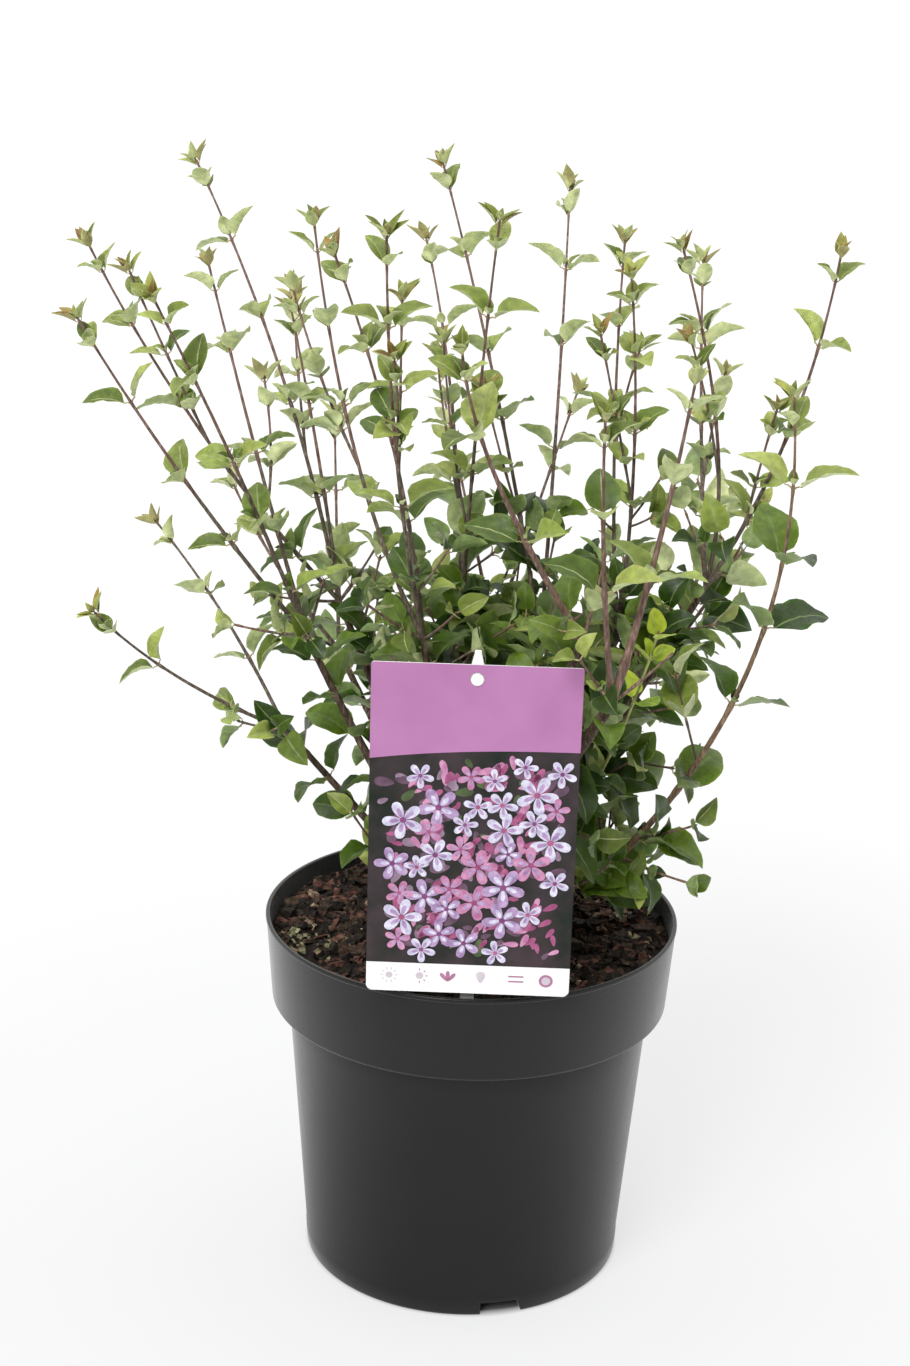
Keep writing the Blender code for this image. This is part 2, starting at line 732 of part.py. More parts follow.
def grow(finish):
    """The crown, the boughs and the masses of shoots and leaves."""
    room = Room()
    smooth(new_object("crown", *crown_body(0), finish["bark"]), 50)
    room.add("crown", *crown_body(0))
    for piece in ("pot", "label_card", "label_stick"):
        mesh = bpy.data.objects[piece].data
        points = [vert.co / MM for vert in mesh.vertices]
        room.add(piece, points, [tuple(face.vertices) for face in mesh.polygons])

    masses = {}
    for name, fan in FANS.items():
        stem, inside, along = make_bough(name, fan, finish["bark"], room)
        draw = random.Random(SEED + STREAMS * len(masses))
        shoots = fan.shoots + short_shoots(inside, along, fan.shorts, draw)
        masses["leaves_" + name] = ([stem], inside, shoots)
    for name, (shoot, foot) in LOW_SHOOTS.items():
        masses["leaves_" + name] = ([], crown_foot(shoot.tip, foot), [shoot])

    grown = {}
    for number, (name, (shells, inside, shoots)) in enumerate(masses.items()):
        beside = None if shells else "crown"
        grown[name] = []
        for order, shoot in enumerate(shoots):
            points = curve_points(inside, shoot.tip, shoot.bow, SHOOT_STEPS)
            limb = tube(points, tapered(shoot.girth, SHOOT_TIP_RADIUS, SHOOT_STEPS), TWIG_SIDES)
            if room.fits(name, *limb, beside=beside):
                shells.append(limb)
                room.add(name, *limb)
                draw = random.Random(SEED + STREAMS * number + 1 + order)
                grown[name].append((points, shoot, draw))
    for name, (shells, inside, shoots) in masses.items():
        for points, shoot, draw in grown[name]:
            for leaf in shoot_leaves(points, shoot, draw):
                shell = leaf_shell(*leaf)
                if room.fits(name, *shell):
                    shells.append(shell)
                    room.add(name, *shell)
        mass = fuse(name, shells, finish["leaf"])
        if name.removeprefix("leaves_") in LOW_SHOOTS:
            apply_boolean(mass, "DIFFERENCE", new_object("cutter", *crown_body(GAP)))
            keep_body(mass)


def main():
    clear_scene()
    plastic = material("pot_plastic", (0.028, 0.028, 0.030), 0.42)
    peat = material("peat", (0.035, 0.020, 0.012), 0.95)
    card = material("label_print", (0.50, 0.22, 0.46), 0.35)
    white = material("stick_plastic", (0.82, 0.82, 0.80), 0.4)
    finish = {
        "bark": material("bark", (0.16, 0.09, 0.07), 0.8),
        "leaf": material("leaf", (0.09, 0.19, 0.03), 0.5),
    }
    make_pot(plastic)
    make_soil(peat)
    make_card(card)
    make_stick(white)
    grow(finish)


main()
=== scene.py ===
import math
import random
from collections import namedtuple
from itertools import accumulate, product

import bpy
import numpy as np
from mathutils import Matrix, Vector, noise
from mathutils.bvhtree import BVHTree


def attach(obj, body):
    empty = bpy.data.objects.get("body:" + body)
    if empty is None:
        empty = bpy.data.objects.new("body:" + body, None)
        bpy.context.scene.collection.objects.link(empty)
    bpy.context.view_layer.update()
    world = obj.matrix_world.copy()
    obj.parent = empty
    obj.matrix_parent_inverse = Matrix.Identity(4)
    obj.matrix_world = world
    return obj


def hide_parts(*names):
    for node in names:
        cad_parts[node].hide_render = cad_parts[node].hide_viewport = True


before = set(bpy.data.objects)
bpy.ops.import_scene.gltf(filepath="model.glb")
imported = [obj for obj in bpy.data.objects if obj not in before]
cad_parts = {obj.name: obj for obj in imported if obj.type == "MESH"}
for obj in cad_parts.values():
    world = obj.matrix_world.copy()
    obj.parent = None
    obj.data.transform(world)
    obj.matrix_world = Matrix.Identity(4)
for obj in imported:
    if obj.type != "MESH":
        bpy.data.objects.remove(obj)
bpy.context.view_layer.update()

MM = 0.001
GAP = 0.3
SEED = 19

# Pot
RIM_RADIUS = 95.0
RIM_TOP = 168.5
LIP_HEIGHT = 1.6
LIP_PROUD = 0.4
COLLAR_FOOT = 128.0
COLLAR_FOOT_RADIUS = 91.6
WALL_TOP_RADIUS = 83.9
FOOT_RADIUS = 74.1
FOOT_HEIGHT = 9.0
FOOT_PROUD = 0.5
WALL = 1.5
FLOOR = 2.0
GROOVE_DEPTH = 6.2
GROOVE_RADII = (40.0, 58.0)
GROOVE_SLOPE = 2.0
FOOT_INNER = 60.0
NOTCH_WIDTH = 20.0
NOTCH_SLANT = 3.0
NOTCH_COUNT = 3
NOTCH_TURN = -74.4
DRAIN_COUNT = 6
DRAIN_RADIUS = 3.5
DRAIN_SIDES = 24
POT_SIDES = 160
POT_TONES = ((0.002, 0.002, 0.0022), (0.0035, 0.0035, 0.0038))
POT_SHEEN = 0.16

# Soil: lumps are given by scale and height, tones of chips by chance
SOIL_TOP = 161.0
SOIL_SIDES = 150
SOIL_RINGS = 60
SOIL_SPREAD = 2.4
SOIL_LUMPS = ((0.030, 2.2), (0.12, 1.9), (0.37, 1.0))
SOIL_EDGE = 78.0
SOIL_EDGE_WIDTH = 13.0
SOIL_EDGE_DROP = 1.4
SOIL_EDGE_CALM = 0.4
SOIL_CHIPS = 3000
CHIP_TONES = (46, 26, 18, 5)
CHIP_TILTS = (("X", 0.5), ("Y", 0.28))
CHIP_RISE = 0.45
CHIP_SPREADS = ((0.3, 0.55), (0.25, 0.6), (0.3, 0.6))
CRUMB_SHARE = 0.68
MOSS = 4
MOSS_CHANCES = (2, 130)
MOSS_PLACE = (-72.0, -28.0)
MOSS_REACH = (22.0, 9.0)
MOSS_GRAIN = 0.08
CROWN_CLEAR = 13.0

# Label card
CARD_WIDTH = 86.5
CARD_HEIGHT = 150.8
CARD_THICK = 0.5
CARD_MIDDLE = -0.7
CARD_FRONT = -96.5
CARD_BOTTOM = 172.6
CARD_LEAN = 3.6
CARD_TURN = -0.4
CARD_CORNERS = (2.8, 1.2)
CORNER_STEPS = 8
HOLE_RADIUS = 3.0
HOLE_DROP = 6.3
HOLE_SIDES = 32

# Crown, boughs and shoots, by the same rule as the solids. Angles are in degrees.
CROWN_HEIGHT = 38.0
CROWN_LEAN = (-1.5, 1.0)
CROWN_PROFILE = ((0.0, 15.5), (2.5, 13.0), (7.0, 11.4), (16.0, 10.4), (26.0, 10.0), (33.0, 7.6), (37.0, 3.6))
CROWN_FLARES = 5
CROWN_FLARE_DEPTH = 0.16
CROWN_FLARE_TOP = 12.0
LIMB_SUNK = 4.5
BOUGH_FOOT_RADIUS = 2.2
BOUGH_STEPS = 6
FORK_LENGTH = 7.0
FORK_STEPS = 5
FORK_SWELL = 0.4
FORK_SUNK = 0.5
LEAST_TAPER = 0.3
SHOOT_SUNK = 2.0
SHOOT_STEPS = 4
SHOOT_TIP_RADIUS = 0.45
LEAF_LENGTHS = (0.85, 1.12)
LEAF_WIDTHS = (0.5, 0.62)
TIP_LEAF = 12.0
FULL_LEAF_AT = 48.0
LEAF_ANGLES = (38.0, 62.0)
FULL_ANGLE_AT = 40.0
ANGLE_SPREAD = (0.85, 1.2)
PAIR_TURN_SPREAD = 14.0
LEAF_TURN_SPREAD = 9.0
FIRST_NODES = (3.0, 14.0)
NODE_GROWTH = 2.6
NODE_SPREAD = (0.94, 1.06)
BARE_FOOT = 6.0
SHORT_COUNT = 3
SHORT_LENGTH = (34.0, 56.0)
SHORT_LEAN = (38.0, 68.0)
SHORT_TURN_SPREAD = 23.0
SHORT_SHAPE = {"bow": (0, -3), "girth": 0.8, "leaf": 25.0, "node": 22.0}


# A shoot: its tip, how it bows sideways and up from a straight line, its girth, leaf size and spacing
Shoot = namedtuple("Shoot", "tip bow girth leaf node", defaults=((0, 0), 1.1, 21.5, 40.0))

# A bough with the fork at its tip and its foot's height on the crown, and the shoots that leave the fork:
# the long ones, how many short ones, the kinds of leaf on both, and the bark at their foot and tip
Fan = namedtuple("Fan", "fork foot shoots bow shorts kinds short_kinds barks",
                 defaults=((0, 0), SHORT_COUNT, "long", "inner", (0, 1)))
FANS = {
    "left_low": Fan((-74, -20, 301), 18, [
        Shoot((-171, -45, 448), (-7, -2)),
        Shoot((-134, -85, 464), (1, 8)),
        Shoot((-125, 30, 460), (-2, 0)),
    ], (-2, -6)),
    "left_high": Fan((-63, 30, 302), 22, [
        Shoot((-176, 20, 468), (-14, -5), leaf=22.5),
        Shoot((-139, 105, 495), (13, 5)),
        Shoot((-91, 60, 436), (3, -3)),
    ]),
    "mid_left": Fan((-24, -35, 306), 30, [
        Shoot((-76, -10, 485), (-11, -20)),
        Shoot((-65, -50, 479), (12, 0)),
        Shoot((-42, -90, 493), (-8, -5), leaf=22.5),
    ]),
    "middle": Fan((-9, 45, 286), 31, [
        Shoot((-32, 110, 462), (8, 20)),
        Shoot((2, 10, 485), (-3, 3), leaf=22.5),
    ]),
    "tall": Fan((26, 25, 288), 31, [
        Shoot((-24, 60, 503), (5, 6), leaf=23.5),
        Shoot((35, 135, 484), (2, 1), leaf=22.5),
    ]),
    "front_mid": Fan((41, -75, 321), 30, [
        Shoot((-11, -110, 452), (-22, 15), girth=1.7, leaf=27, node=44),
    ], shorts=2, kinds="stout", barks=(1, 1)),
    "front_right": Fan((53, -95, 302), 20, [
        Shoot((45, -125, 431), (-4, -1), girth=1.5, leaf=26),
        Shoot((82, -85, 438), (3, -7), girth=1.9, leaf=25),
    ], shorts=2, kinds="stout", barks=(1, 1)),
    "right_back": Fan((62, 65, 277), 20, [
        Shoot((60, 90, 467), (-6, 2)),
        Shoot((60, 20, 462), (9, 4), leaf=22.5),
    ]),
    "right": Fan((98, 20, 318), 19, [
        Shoot((83, 40, 472), (22, -20)),
        Shoot((98, 110, 455), (-3, 2)),
        Shoot((146, -10, 479), (15, -8), leaf=21),
    ], (4, -6), shorts=2),
    "far_right": Fan((62, -18, 203), 7, [
        Shoot((125, -55, 427), (47, -10), girth=1.55, leaf=32, node=36),
    ], (2, -4), shorts=1, kinds="far", short_kinds="dark", barks=(3, 3)),
    "low_left": Fan((-82, -20, 258), 9, [
        Shoot((-164, -55, 324), (-12, -5), girth=0.9, leaf=19),
        Shoot((-150, 35, 341), (5, 6), girth=0.9, leaf=19),
    ], shorts=2, barks=(0, 0)),
    "back_left": Fan((-66, 84, 262), 10, [
        Shoot((-128, 128, 346), (-8, -4)),
        Shoot((-76, 150, 368)),
    ]),
    "back": Fan((6, 100, 268), 12, [
        Shoot((-22, 168, 372)),
        Shoot((44, 164, 380)),
    ]),
    "back_right": Fan((74, 78, 252), 9, [
        Shoot((118, 120, 338), (6, -4)),
        Shoot((128, 66, 350), (8, -6)),
    ]),
}

# Low leafy shoots that leave the crown itself: the shoot, and the height of its foot
LOW_SHOOTS = {
    "low_front_left": (Shoot((-58, -58, 246), (-4, -10), leaf=25, node=24), 8),
    "low_front_right": (Shoot((66, -62, 226), (4, -10), leaf=25, node=24), 8),
    "low_right_young": (Shoot((74, -66, 326), (14, -22), girth=1.2, leaf=16, node=24), 12),
    "inner_front": (Shoot((-6, -56, 300), (2, -8), leaf=28, node=22), 22),
    "inner_back": (Shoot((-34, 74, 262), (2, -8), leaf=27, node=22), 21),
    "inner_left": (Shoot((-40, 8, 290), (-6, -6), leaf=28, node=22), 32),
    "inner_right": (Shoot((62, 8, 292), (6, -8), leaf=28, node=22), 32),
    "centre_left": (Shoot((-30, -16, 352), (-4, -4), leaf=28, node=22), 34),
    "centre_right": (Shoot((36, -30, 350), (-4, -4), leaf=28, node=22), 26),
    "centre_back": (Shoot((18, 50, 342), (2, -6), leaf=28, node=22), 33),
}

# Each mass draws its chances from numbered streams of its own, this far apart
STREAMS = 100

# Finer growth than the solids hold. An ellipsoid is its middle and its reach on each axis.
SPRIG_LENGTH = (28.0, 56.0)
SPRIG_LEAN = (30.0, 66.0)
SPRIG_LEAF = 40.0
SPRIG_LEAVES = (0.75, 1.1)
SPRIG_SHAPE = {"bow": (0, -2), "girth": 0.6, "node": 20.0}
SPRIGS_BY_SHOOT = (6, 0.04, 0.42)
SPRIGS_BY_BOUGH = (22, 0.25, 0.98)
CORES = (
    ((22.0, 18.0, 304.0), (78.0, 100.0, 78.0)),
    ((66.0, -14.0, 262.0), (48.0, 76.0, 64.0)),
    ((92.0, 30.0, 334.0), (38.0, 80.0, 44.0)),
)
# Where green and young leaves mostly turn dark deep inside the plant, and the share that does: partly the old
# leaves' darker tone, partly painted shade.
SHADED_OLD_CORE = ((18.0, 14.0, 262.0), (92.0, 84.0, 76.0))
SHADED_OLD_CORE_SHARE = 0.62
SIDE_SHOOTS = 0.85
SIDE_SHOOTS_ABOVE = 450.0
SIDE_FOOT = (0.22, 0.5)
SIDE_LENGTH = (50.0, 100.0)
SIDE_LONGEST = 0.45
SIDE_LEAN = (9.0, 20.0)
SIDE_LEAF = (16.0, 20.0)
SIDE_BOW = 4.0
SIDE_SHAPE = {"girth": 0.7, "node": 27.0}
BOUGH_LEAF = 26.0
BOUGH_LEAF_ANGLE = 64.0
BOUGH_LEAVES_FROM = (4.0, 10.0)
BOUGH_LEAVES_TO = 0.55
BOUGH_NODE = (16.0, 24.0)
TIP_CUT = 12.0
TUFT_LEAVES = ((0.8, 7.0, 24.0), (1.6, 10.0, 42.0))
TUFT_SPREAD = (0.9, 1.25)
BUD_LENGTH = 2.4
BUD_PROFILE = ((0.0, 0.56), (0.3, 0.7), (0.65, 0.49), (1.0, 0.105))
BUD_SIDES = 6
AXIL_LEAF = (6.0, 12.0)
AXIL_ANGLE = 34.0
AXIL_ABOVE = 1.5
AXIL_BARE = 0.3
POCKET = (64.0, 98.0, 236.0, 344.0)
POCKET_BACK = -66.0
PIECE_FACES = 95000
PETIOLE_SHARE = 0.13
PETIOLE_RADIUS = 0.4
PETIOLE_TAPER = (1.3, 1.0, 0.85, 0.8)
PETIOLE_BEND = (0.35, 0.45)
PETIOLE_DROP = 0.1
PETIOLE_SIDES = 4
FULL_PETIOLE_AT = 20.0
TWIG_STEP = 2.4
TWIG_SIDES = 8
TWIG_RELIEF = 0.05
BARK_CHANGE = 0.45
NODE_SWELL = 0.32
NODE_SWELL_REACH = 2.2
BARK_STEP = 1.3
BARK_SIDES = 16
BARK_RELIEF = 0.08
BARK_GRAIN = (0.9, 0.16, 7.0)
BARK_RIDGES = (1.6, 3.7, 0.3)
SCAR_HEIGHT = 0.22
SCAR_WIDTH = 1.3
SCAR_SPACING = 31.0
CROWN_RINGS = 46
CROWN_SIDES = 72
CROWN_SHOULDER = 37.0
CROWN_CLOSER = 1.15
CROWN_RIDGES = ((1.3, 0.9), (3.1, 0.45))
CROWN_GRAIN = (3.2, 0.12)
CROWN_RELIEF = 0.9
CROWN_SUNK = 0.4


# How each kind of leaf is shaped: angles in degrees, then shares of its half width or length. The last is
# its upper face's roughness.
LeafKind = namedtuple("LeafKind", "fold curl wave width skew blunt rows pleats roughness")
KINDS = {
    "bronze": LeafKind(30, 24, 0.04, 0.74, 0.60, 1.0, 7, 0, 0.5),
    "tip": LeafKind(30, 30, 0.05, 0.80, 0.60, 1.0, 7, 0, 0.5),
    "young": LeafKind(32, 50, 0.08, 1.06, 0.64, 0.90, 10, 3.5, 0.46),
    "green": LeafKind(26, 58, 0.10, 1.06, 0.64, 0.88, 11, 4, 0.44),
    "dark": LeafKind(22, 56, 0.12, 1.10, 0.66, 0.86, 12, 4.5, 0.38),
    "lime": LeafKind(12, 18, 0.05, 1.40, 0.78, 0.62, 9, 3, 0.5),
}
LEAF_COLUMNS = (-1.0, -0.72, -0.38, -0.05, 0.05, 0.38, 0.72, 1.0)
LEAF_THICK = 0.26
LEAF_TONES = 3
FOOT_HALF_WIDTH = 0.3
LEAST_HALF_WIDTH = 0.07
PLEAT = 0.011
PLEAT_SLANT = 0.24
FOLD_EASE = 0.35
FOLD_SPREAD = (0.6, 1.4)
CURL_LEVEL_AT = 0.42
CURL_SPREAD = (0.55, 1.45)
WAVES = (1.2, 2.2)
WAVE_LAG = (0.4, 1.6)
LEAF_TWIST = 22.0

# Kinds of leaf down a shoot: each row is how far it goes from the tip, the kinds there and their chances
FOOT = math.inf
DOWN = {
    "long": ((8, ("bronze", "tip")), (70, "young"), (130, ("green", "young"), (60, 40)),
             (FOOT, ("dark", "green"), (55, 45))),
    "side": ((8, ("bronze", "tip")), (FOOT, ("young", "green"), (75, 25))),
    "stout": ((8, "tip"), (30, "young"), (90, ("young", "green")), (110, "green"), (FOOT, "dark")),
    "far": ((8, "tip"), (50, "young"), (FOOT, "dark")),
    "dark": ((8, "green"), (FOOT, "dark")),
    # Shoots and sprigs inside the plant bear many dark leaves: partly old leaves, partly painted shade.
    "inner": ((8, "green"), (FOOT, ("dark", "green", "young"), (40, 26, 34))),
    "lime": ((62, "lime"), (FOOT, "dark")),
}

# Base colours of each kind's upper face, from fresh to deep, and of its lower face last
TONES = {
    "bronze": ((0.27, 0.18, 0.050), (0.18, 0.105, 0.028), (0.22, 0.20, 0.04), (0.38, 0.34, 0.15)),
    "tip": ((0.270, 0.290, 0.064), (0.185, 0.212, 0.040), (0.125, 0.150, 0.025), (0.48, 0.51, 0.24)),
    "young": ((0.270, 0.308, 0.076), (0.160, 0.200, 0.038), (0.084, 0.116, 0.015), (0.56, 0.61, 0.32)),
    "green": ((0.21, 0.262, 0.052), (0.116, 0.165, 0.024), (0.058, 0.094, 0.011), (0.47, 0.53, 0.27)),
    "dark": ((0.080, 0.130, 0.010), (0.036, 0.070, 0.004), (0.016, 0.036, 0.002), (0.25, 0.32, 0.13)),
    "lime": ((0.37, 0.45, 0.030), (0.28, 0.37, 0.028), (0.19, 0.28, 0.024), (0.55, 0.63, 0.16)),
}
RIB_MIX = (0.45, 0.4)
LEAF_MOTTLE = (0.72, 1.32)
LEAF_GLOW_REACH = (0.0006, 0.0010, 0.0003)

# Between which values most of a noise pattern lies
NOISE_RANGE = (0.25, 0.75)

# Shade, middle tone, light tone and roughness of each bark
BARKS = {
    "old": ((0.035, 0.022, 0.016), (0.10, 0.066, 0.048), (0.23, 0.17, 0.125), 0.7),
    "grey": ((0.052, 0.040, 0.030), (0.115, 0.088, 0.066), (0.26, 0.21, 0.165), 0.65),
    "red": ((0.076, 0.043, 0.032), (0.165, 0.100, 0.078), (0.31, 0.215, 0.175), 0.55),
    "tan": ((0.085, 0.052, 0.032), (0.20, 0.128, 0.080), (0.40, 0.29, 0.19), 0.55),
}

# Shade, middle tone and light tone of the soil's bits, in the order of CHIP_TONES and moss last
CRUMBS = {
    "chip_black": ((0.004, 0.003, 0.002), (0.012, 0.009, 0.007), (0.042, 0.030, 0.023)),
    "chip_brown": ((0.014, 0.009, 0.006), (0.040, 0.025, 0.017), (0.10, 0.066, 0.046)),
    "chip_red": ((0.038, 0.016, 0.011), (0.090, 0.042, 0.030), (0.19, 0.10, 0.075)),
    "chip_tan": ((0.11, 0.072, 0.045), (0.24, 0.17, 0.115), (0.46, 0.36, 0.26)),
    "moss": ((0.035, 0.033, 0.016), (0.15, 0.143, 0.078), (0.48, 0.45, 0.31)),
}

# Shade and light tone of each ink, and the scale of its unevenness
INKS = {
    "header": ((0.38, 0.160, 0.340), (0.45, 0.200, 0.400), 30),
    "ground": ((0.012, 0.018, 0.013), (0.055, 0.038, 0.044), 60),
    "ground_warm": ((0.060, 0.034, 0.052), (0.20, 0.115, 0.175), 90),
    "petal_white": ((0.40, 0.36, 0.52), (0.72, 0.71, 0.82), 340),
    "petal_lilac": ((0.27, 0.17, 0.33), (0.50, 0.36, 0.56), 340),
    "eye": ((0.16, 0.045, 0.14), (0.26, 0.08, 0.22), 160),
    "bud_pink": ((0.36, 0.12, 0.25), (0.60, 0.30, 0.46), 240),
    "bud_deep": ((0.22, 0.045, 0.12), (0.40, 0.12, 0.24), 240),
    "stem": ((0.17, 0.11, 0.16), (0.32, 0.23, 0.31), 160),
    "leaf": ((0.045, 0.07, 0.03), (0.10, 0.14, 0.06), 160),
    "icon": ((0.50, 0.45, 0.50), (0.58, 0.52, 0.57), 160),
    "icon_deep": ((0.34, 0.14, 0.24), (0.42, 0.19, 0.31), 160),
}

# Label print: places up the card, blossoms as (petal, heart, eye)
LAYER = 0.022
LAYER_SHARE = 0.8
PETAL_SIDES = 14
STRIP_HEIGHT = 13.6
HEADER_EDGE = 108.0
HEADER_DROP = 5.5
HEADER_CURVE = 2.4
HEADER_STEPS = 24
FAR_PETALS = 150
BUD_BUNCHES = 34
BUDS_BY_BUNCH = 6
BLOSSOM_TRIES = 2600
BLOSSOM_START = (-30, 29)
BLOSSOM_RUN = (62, 66)
BLOSSOM_SPREAD = 13
BLOSSOMS_APART = 0.78
BLOSSOMS_NEAR = 1.25
PICTURE_LAYERS = 7
PICTURE_MARGINS = (0.6, 0.5, 0.8)
BLOSSOMS = (("petal_white", "petal_lilac", "eye"), ("petal_white", "petal_lilac", "bud_deep"),
            ("petal_lilac", "petal_white", "eye"), ("bud_pink", "petal_lilac", "bud_deep"))
ICON_HEIGHT = 7.6
ICONS = (-33.5, -20.5, -8.5, 5.5, 20.5, 33.3)

# Studio. A glow or light over a range is given as (from, to, value there, value there).
CAMERA_PLACE = (0.0, -1.094, 0.645)
CAMERA_PITCH = 18.47
CAMERA_YAW = -0.57
CAMERA_ROLL = 1.77
CAMERA_FOCAL_PIXELS = 2567.0
PHOTO_HEIGHT = 1366.0
SENSOR = 36.0
WORLD_COLOUR = (1.0, 0.99, 0.975, 1)
WORLD_SEEN = 1.05
WORLD_ABOVE = (0.35, 1.0, 0.10, 1.5)
WORLD_BEHIND = (-0.7, 0.5, 0.0, 0.85)
SUN_FROM = (-0.45, -0.95, 0.85)
SUN_SIZE = 32.0
SUN_POWER = 2.8
FLOOR_REACH = 9000.0
# Painted light on the floor: none under the pot's foot, which paints shade there, full just beyond it to thin
# the shadows cast on the floor, and a little more on the far floor.
PAINTED_FLOOR_LIGHT = (0.0692, 0.0752, 0.0, 0.635)
PAINTED_FAR_LIGHT = (0.30, 1.1, 0.0, 0.12)


# Making pieces
class Shells:
    """Closed shells gathered for one joined piece, in millimetres."""

    def __init__(self):
        self.points = []
        self.faces = []
        self.slots = []
        self.count = 0

    def add(self, points, faces, slots=0):
        """Adds a shell. slots is one finish number for all of its faces, or a list with one for each."""
        self.points.append(np.array(points, float))
        self.faces += [tuple(index + self.count for index in face) for face in faces]
        self.slots += [slots] * len(faces) if isinstance(slots, int) else slots
        self.count += len(points)

    def piece(self, name, finishes, slot, replaced, sharp):
        """Joins the shells into one piece. Edges sharper than an angle in degrees stay sharp."""
        mesh = bpy.data.meshes.new(name)
        mesh.from_pydata((np.concatenate(self.points) * MM).tolist(), [], self.faces)
        for finish in finishes:
            mesh.materials.append(finish)
        mesh.polygons.foreach_set("material_index", self.slots)
        mesh.shade_smooth()
        mesh.set_sharp_from_angle(angle=math.radians(sharp))
        mesh.update()
        obj = bpy.data.objects.new(name, mesh)
        bpy.context.scene.collection.objects.link(obj)
        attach(obj, "root")
        if replaced:
            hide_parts(*replaced)
        return obj


# Materials
def feed(tree, node, inputs):
    """Gives each named or numbered input of a node a plain value or another node's output."""
    for name, value in inputs.items():
        if isinstance(value, bpy.types.NodeSocket):
            tree.links.new(value, node.inputs[name])
        else:
            node.inputs[name].default_value = value


def new_node(tree, kind, inputs, **settings):
    """A shader node with its settings and inputs."""
    node = tree.nodes.new("ShaderNode" + kind)
    for name, value in settings.items():
        setattr(node, name, value)
    feed(tree, node, inputs)
    return node


def map_range(tree, value, spread, **settings):
    """A value carried from one range to another, given as (from, to, value there, value there)."""
    limits = dict(zip(("From Min", "From Max", "To Min", "To Max"), spread))
    return new_node(tree, "MapRange", {"Value": value, **limits}, **settings).outputs["Result"]


class Finish:
    """A node material under construction, whose patterns lie on the object's own coordinates."""

    def __init__(self, name, roughness, specular):
        self.material = bpy.data.materials.new(name)
        self.material.use_nodes = True
        self.tree = self.material.node_tree
        self.place = new_node(self.tree, "TexCoord", {}).outputs["Object"]
        self.base = roughness
        self.shade({"Roughness": roughness, "Specular IOR Level": specular})

    def shade(self, inputs):
        feed(self.tree, self.tree.nodes["Principled BSDF"], inputs)

    def stretched(self, scale):
        """The place on the object, scaled by a factor on each axis."""
        return new_node(self.tree, "Mapping", {"Vector": self.place, "Scale": scale}).outputs["Vector"]

    def noise(self, scale, detail, place=None, rough=0.55):
        inputs = {"Vector": place or self.place, "Scale": scale, "Detail": detail, "Roughness": rough}
        return new_node(self.tree, "TexNoise", inputs).outputs["Fac"]

    def cells(self, scale, place=None, feature="F1"):
        inputs = {"Vector": place or self.place, "Scale": scale}
        return new_node(self.tree, "TexVoronoi", inputs, feature=feature).outputs["Distance"]

    def add(self, a, b, weight):
        """One value plus another one times a weight."""
        return new_node(self.tree, "Math", {0: b, 1: weight, 2: a}, operation="MULTIPLY_ADD").outputs["Value"]

    def colour(self, value, places, colours):
        """Colours the surface by value, with a colour at each of the places from 0 to 1."""
        node = new_node(self.tree, "ValToRGB", {"Fac": value})
        elements = node.color_ramp.elements
        while len(elements) < len(places):
            elements.new(0.5)
        for element, place, colour in zip(elements, places, colours):
            element.position = place
            element.color = (*colour, 1)
        self.shade({"Base Color": node.outputs["Color"]})

    def uneven(self, value, less, more):
        """Spreads the roughness by value, from so much less than its plain number to so much more."""
        spread = (*NOISE_RANGE, self.base - less, self.base + more)
        self.shade({"Roughness": map_range(self.tree, value, spread)})

    def bump(self, height, strength, distance):
        inputs = {"Height": height, "Strength": strength, "Distance": distance * MM}
        self.shade({"Normal": new_node(self.tree, "Bump", inputs).outputs["Normal"]})


def leaf_finish(name, tone, roughness=0.5):
    """Leaf tissue: mottled green with fine veining in relief and a slightly uneven sheen."""
    made = Finish(name, roughness, 0.3)
    shade, light = ([c * factor for c in tone] for factor in LEAF_MOTTLE)
    made.colour(made.noise(260, 4), (0.3, 0.5, 0.72), (shade, tone, light))
    made.uneven(made.noise(700, 2), 0.08, 0.1)
    made.bump(made.add(made.cells(900, feature="DISTANCE_TO_EDGE"), made.noise(420, 3), 0.8), 0.3, 0.22)
    made.shade({"Subsurface Weight": 0.2, "Subsurface Radius": LEAF_GLOW_REACH, "Subsurface Scale": 1.0})
    return made.material


def bark_finish(name, shade, middle, light, roughness):
    """Bark: lengthwise streaks, and a fine flaky relief with lenticels."""
    made = Finish(name, roughness, 0.2)
    streaks = made.noise(1.0, 4, made.stretched((900, 900, 160)))
    made.colour(streaks, (0.3, 0.52, 0.74), (shade, middle, light))
    made.uneven(made.noise(500, 2), 0.1, 0.12)
    made.bump(made.add(streaks, made.cells(1.0, made.stretched((700, 700, 420))), -0.7), 0.6, 0.3)
    return made.material


def plastic_finish(name, shade, light, roughness, grain, depth, specular=0.5, sheen=0.0):
    """Moulded plastic: nearly even colour, fine moulding grain, faint rubbed patches."""
    made = Finish(name, roughness, specular)
    made.colour(made.noise(26, 5), (0.35, 0.7), (shade, light))
    made.uneven(made.noise(1.0, 5, made.stretched((60, 60, 18)), 0.7), 0.05, 0.08)
    made.bump(made.noise(grain, 3), 0.25, depth)
    made.shade({"Sheen Weight": sheen})
    return made.material


def crumb_finish(name, shade, middle, light, scale=420):
    """Peat, bark chips or moss: mottled, crumbly and dull."""
    made = Finish(name, 0.95, 0.15)
    made.colour(made.noise(scale, 5), (0.32, 0.52, 0.74), (shade, middle, light))
    made.uneven(made.noise(scale * 2, 2), 0.25, 0.03)
    made.bump(made.add(made.noise(scale * 1.6, 4), made.cells(scale), 0.5), 0.9, 0.6)
    return made.material


def ink_finish(name, shade, light, scale):
    """Printed ink with a dull film, a little uneven in tone."""
    made = Finish(name, 0.4, 0.14)
    made.colour(made.noise(scale, 3), (0.3, 0.7), (shade, light))
    made.uneven(made.noise(90, 2), 0.06, 0.08)
    made.bump(made.noise(1400, 2), 0.06, 0.05)
    return made.material


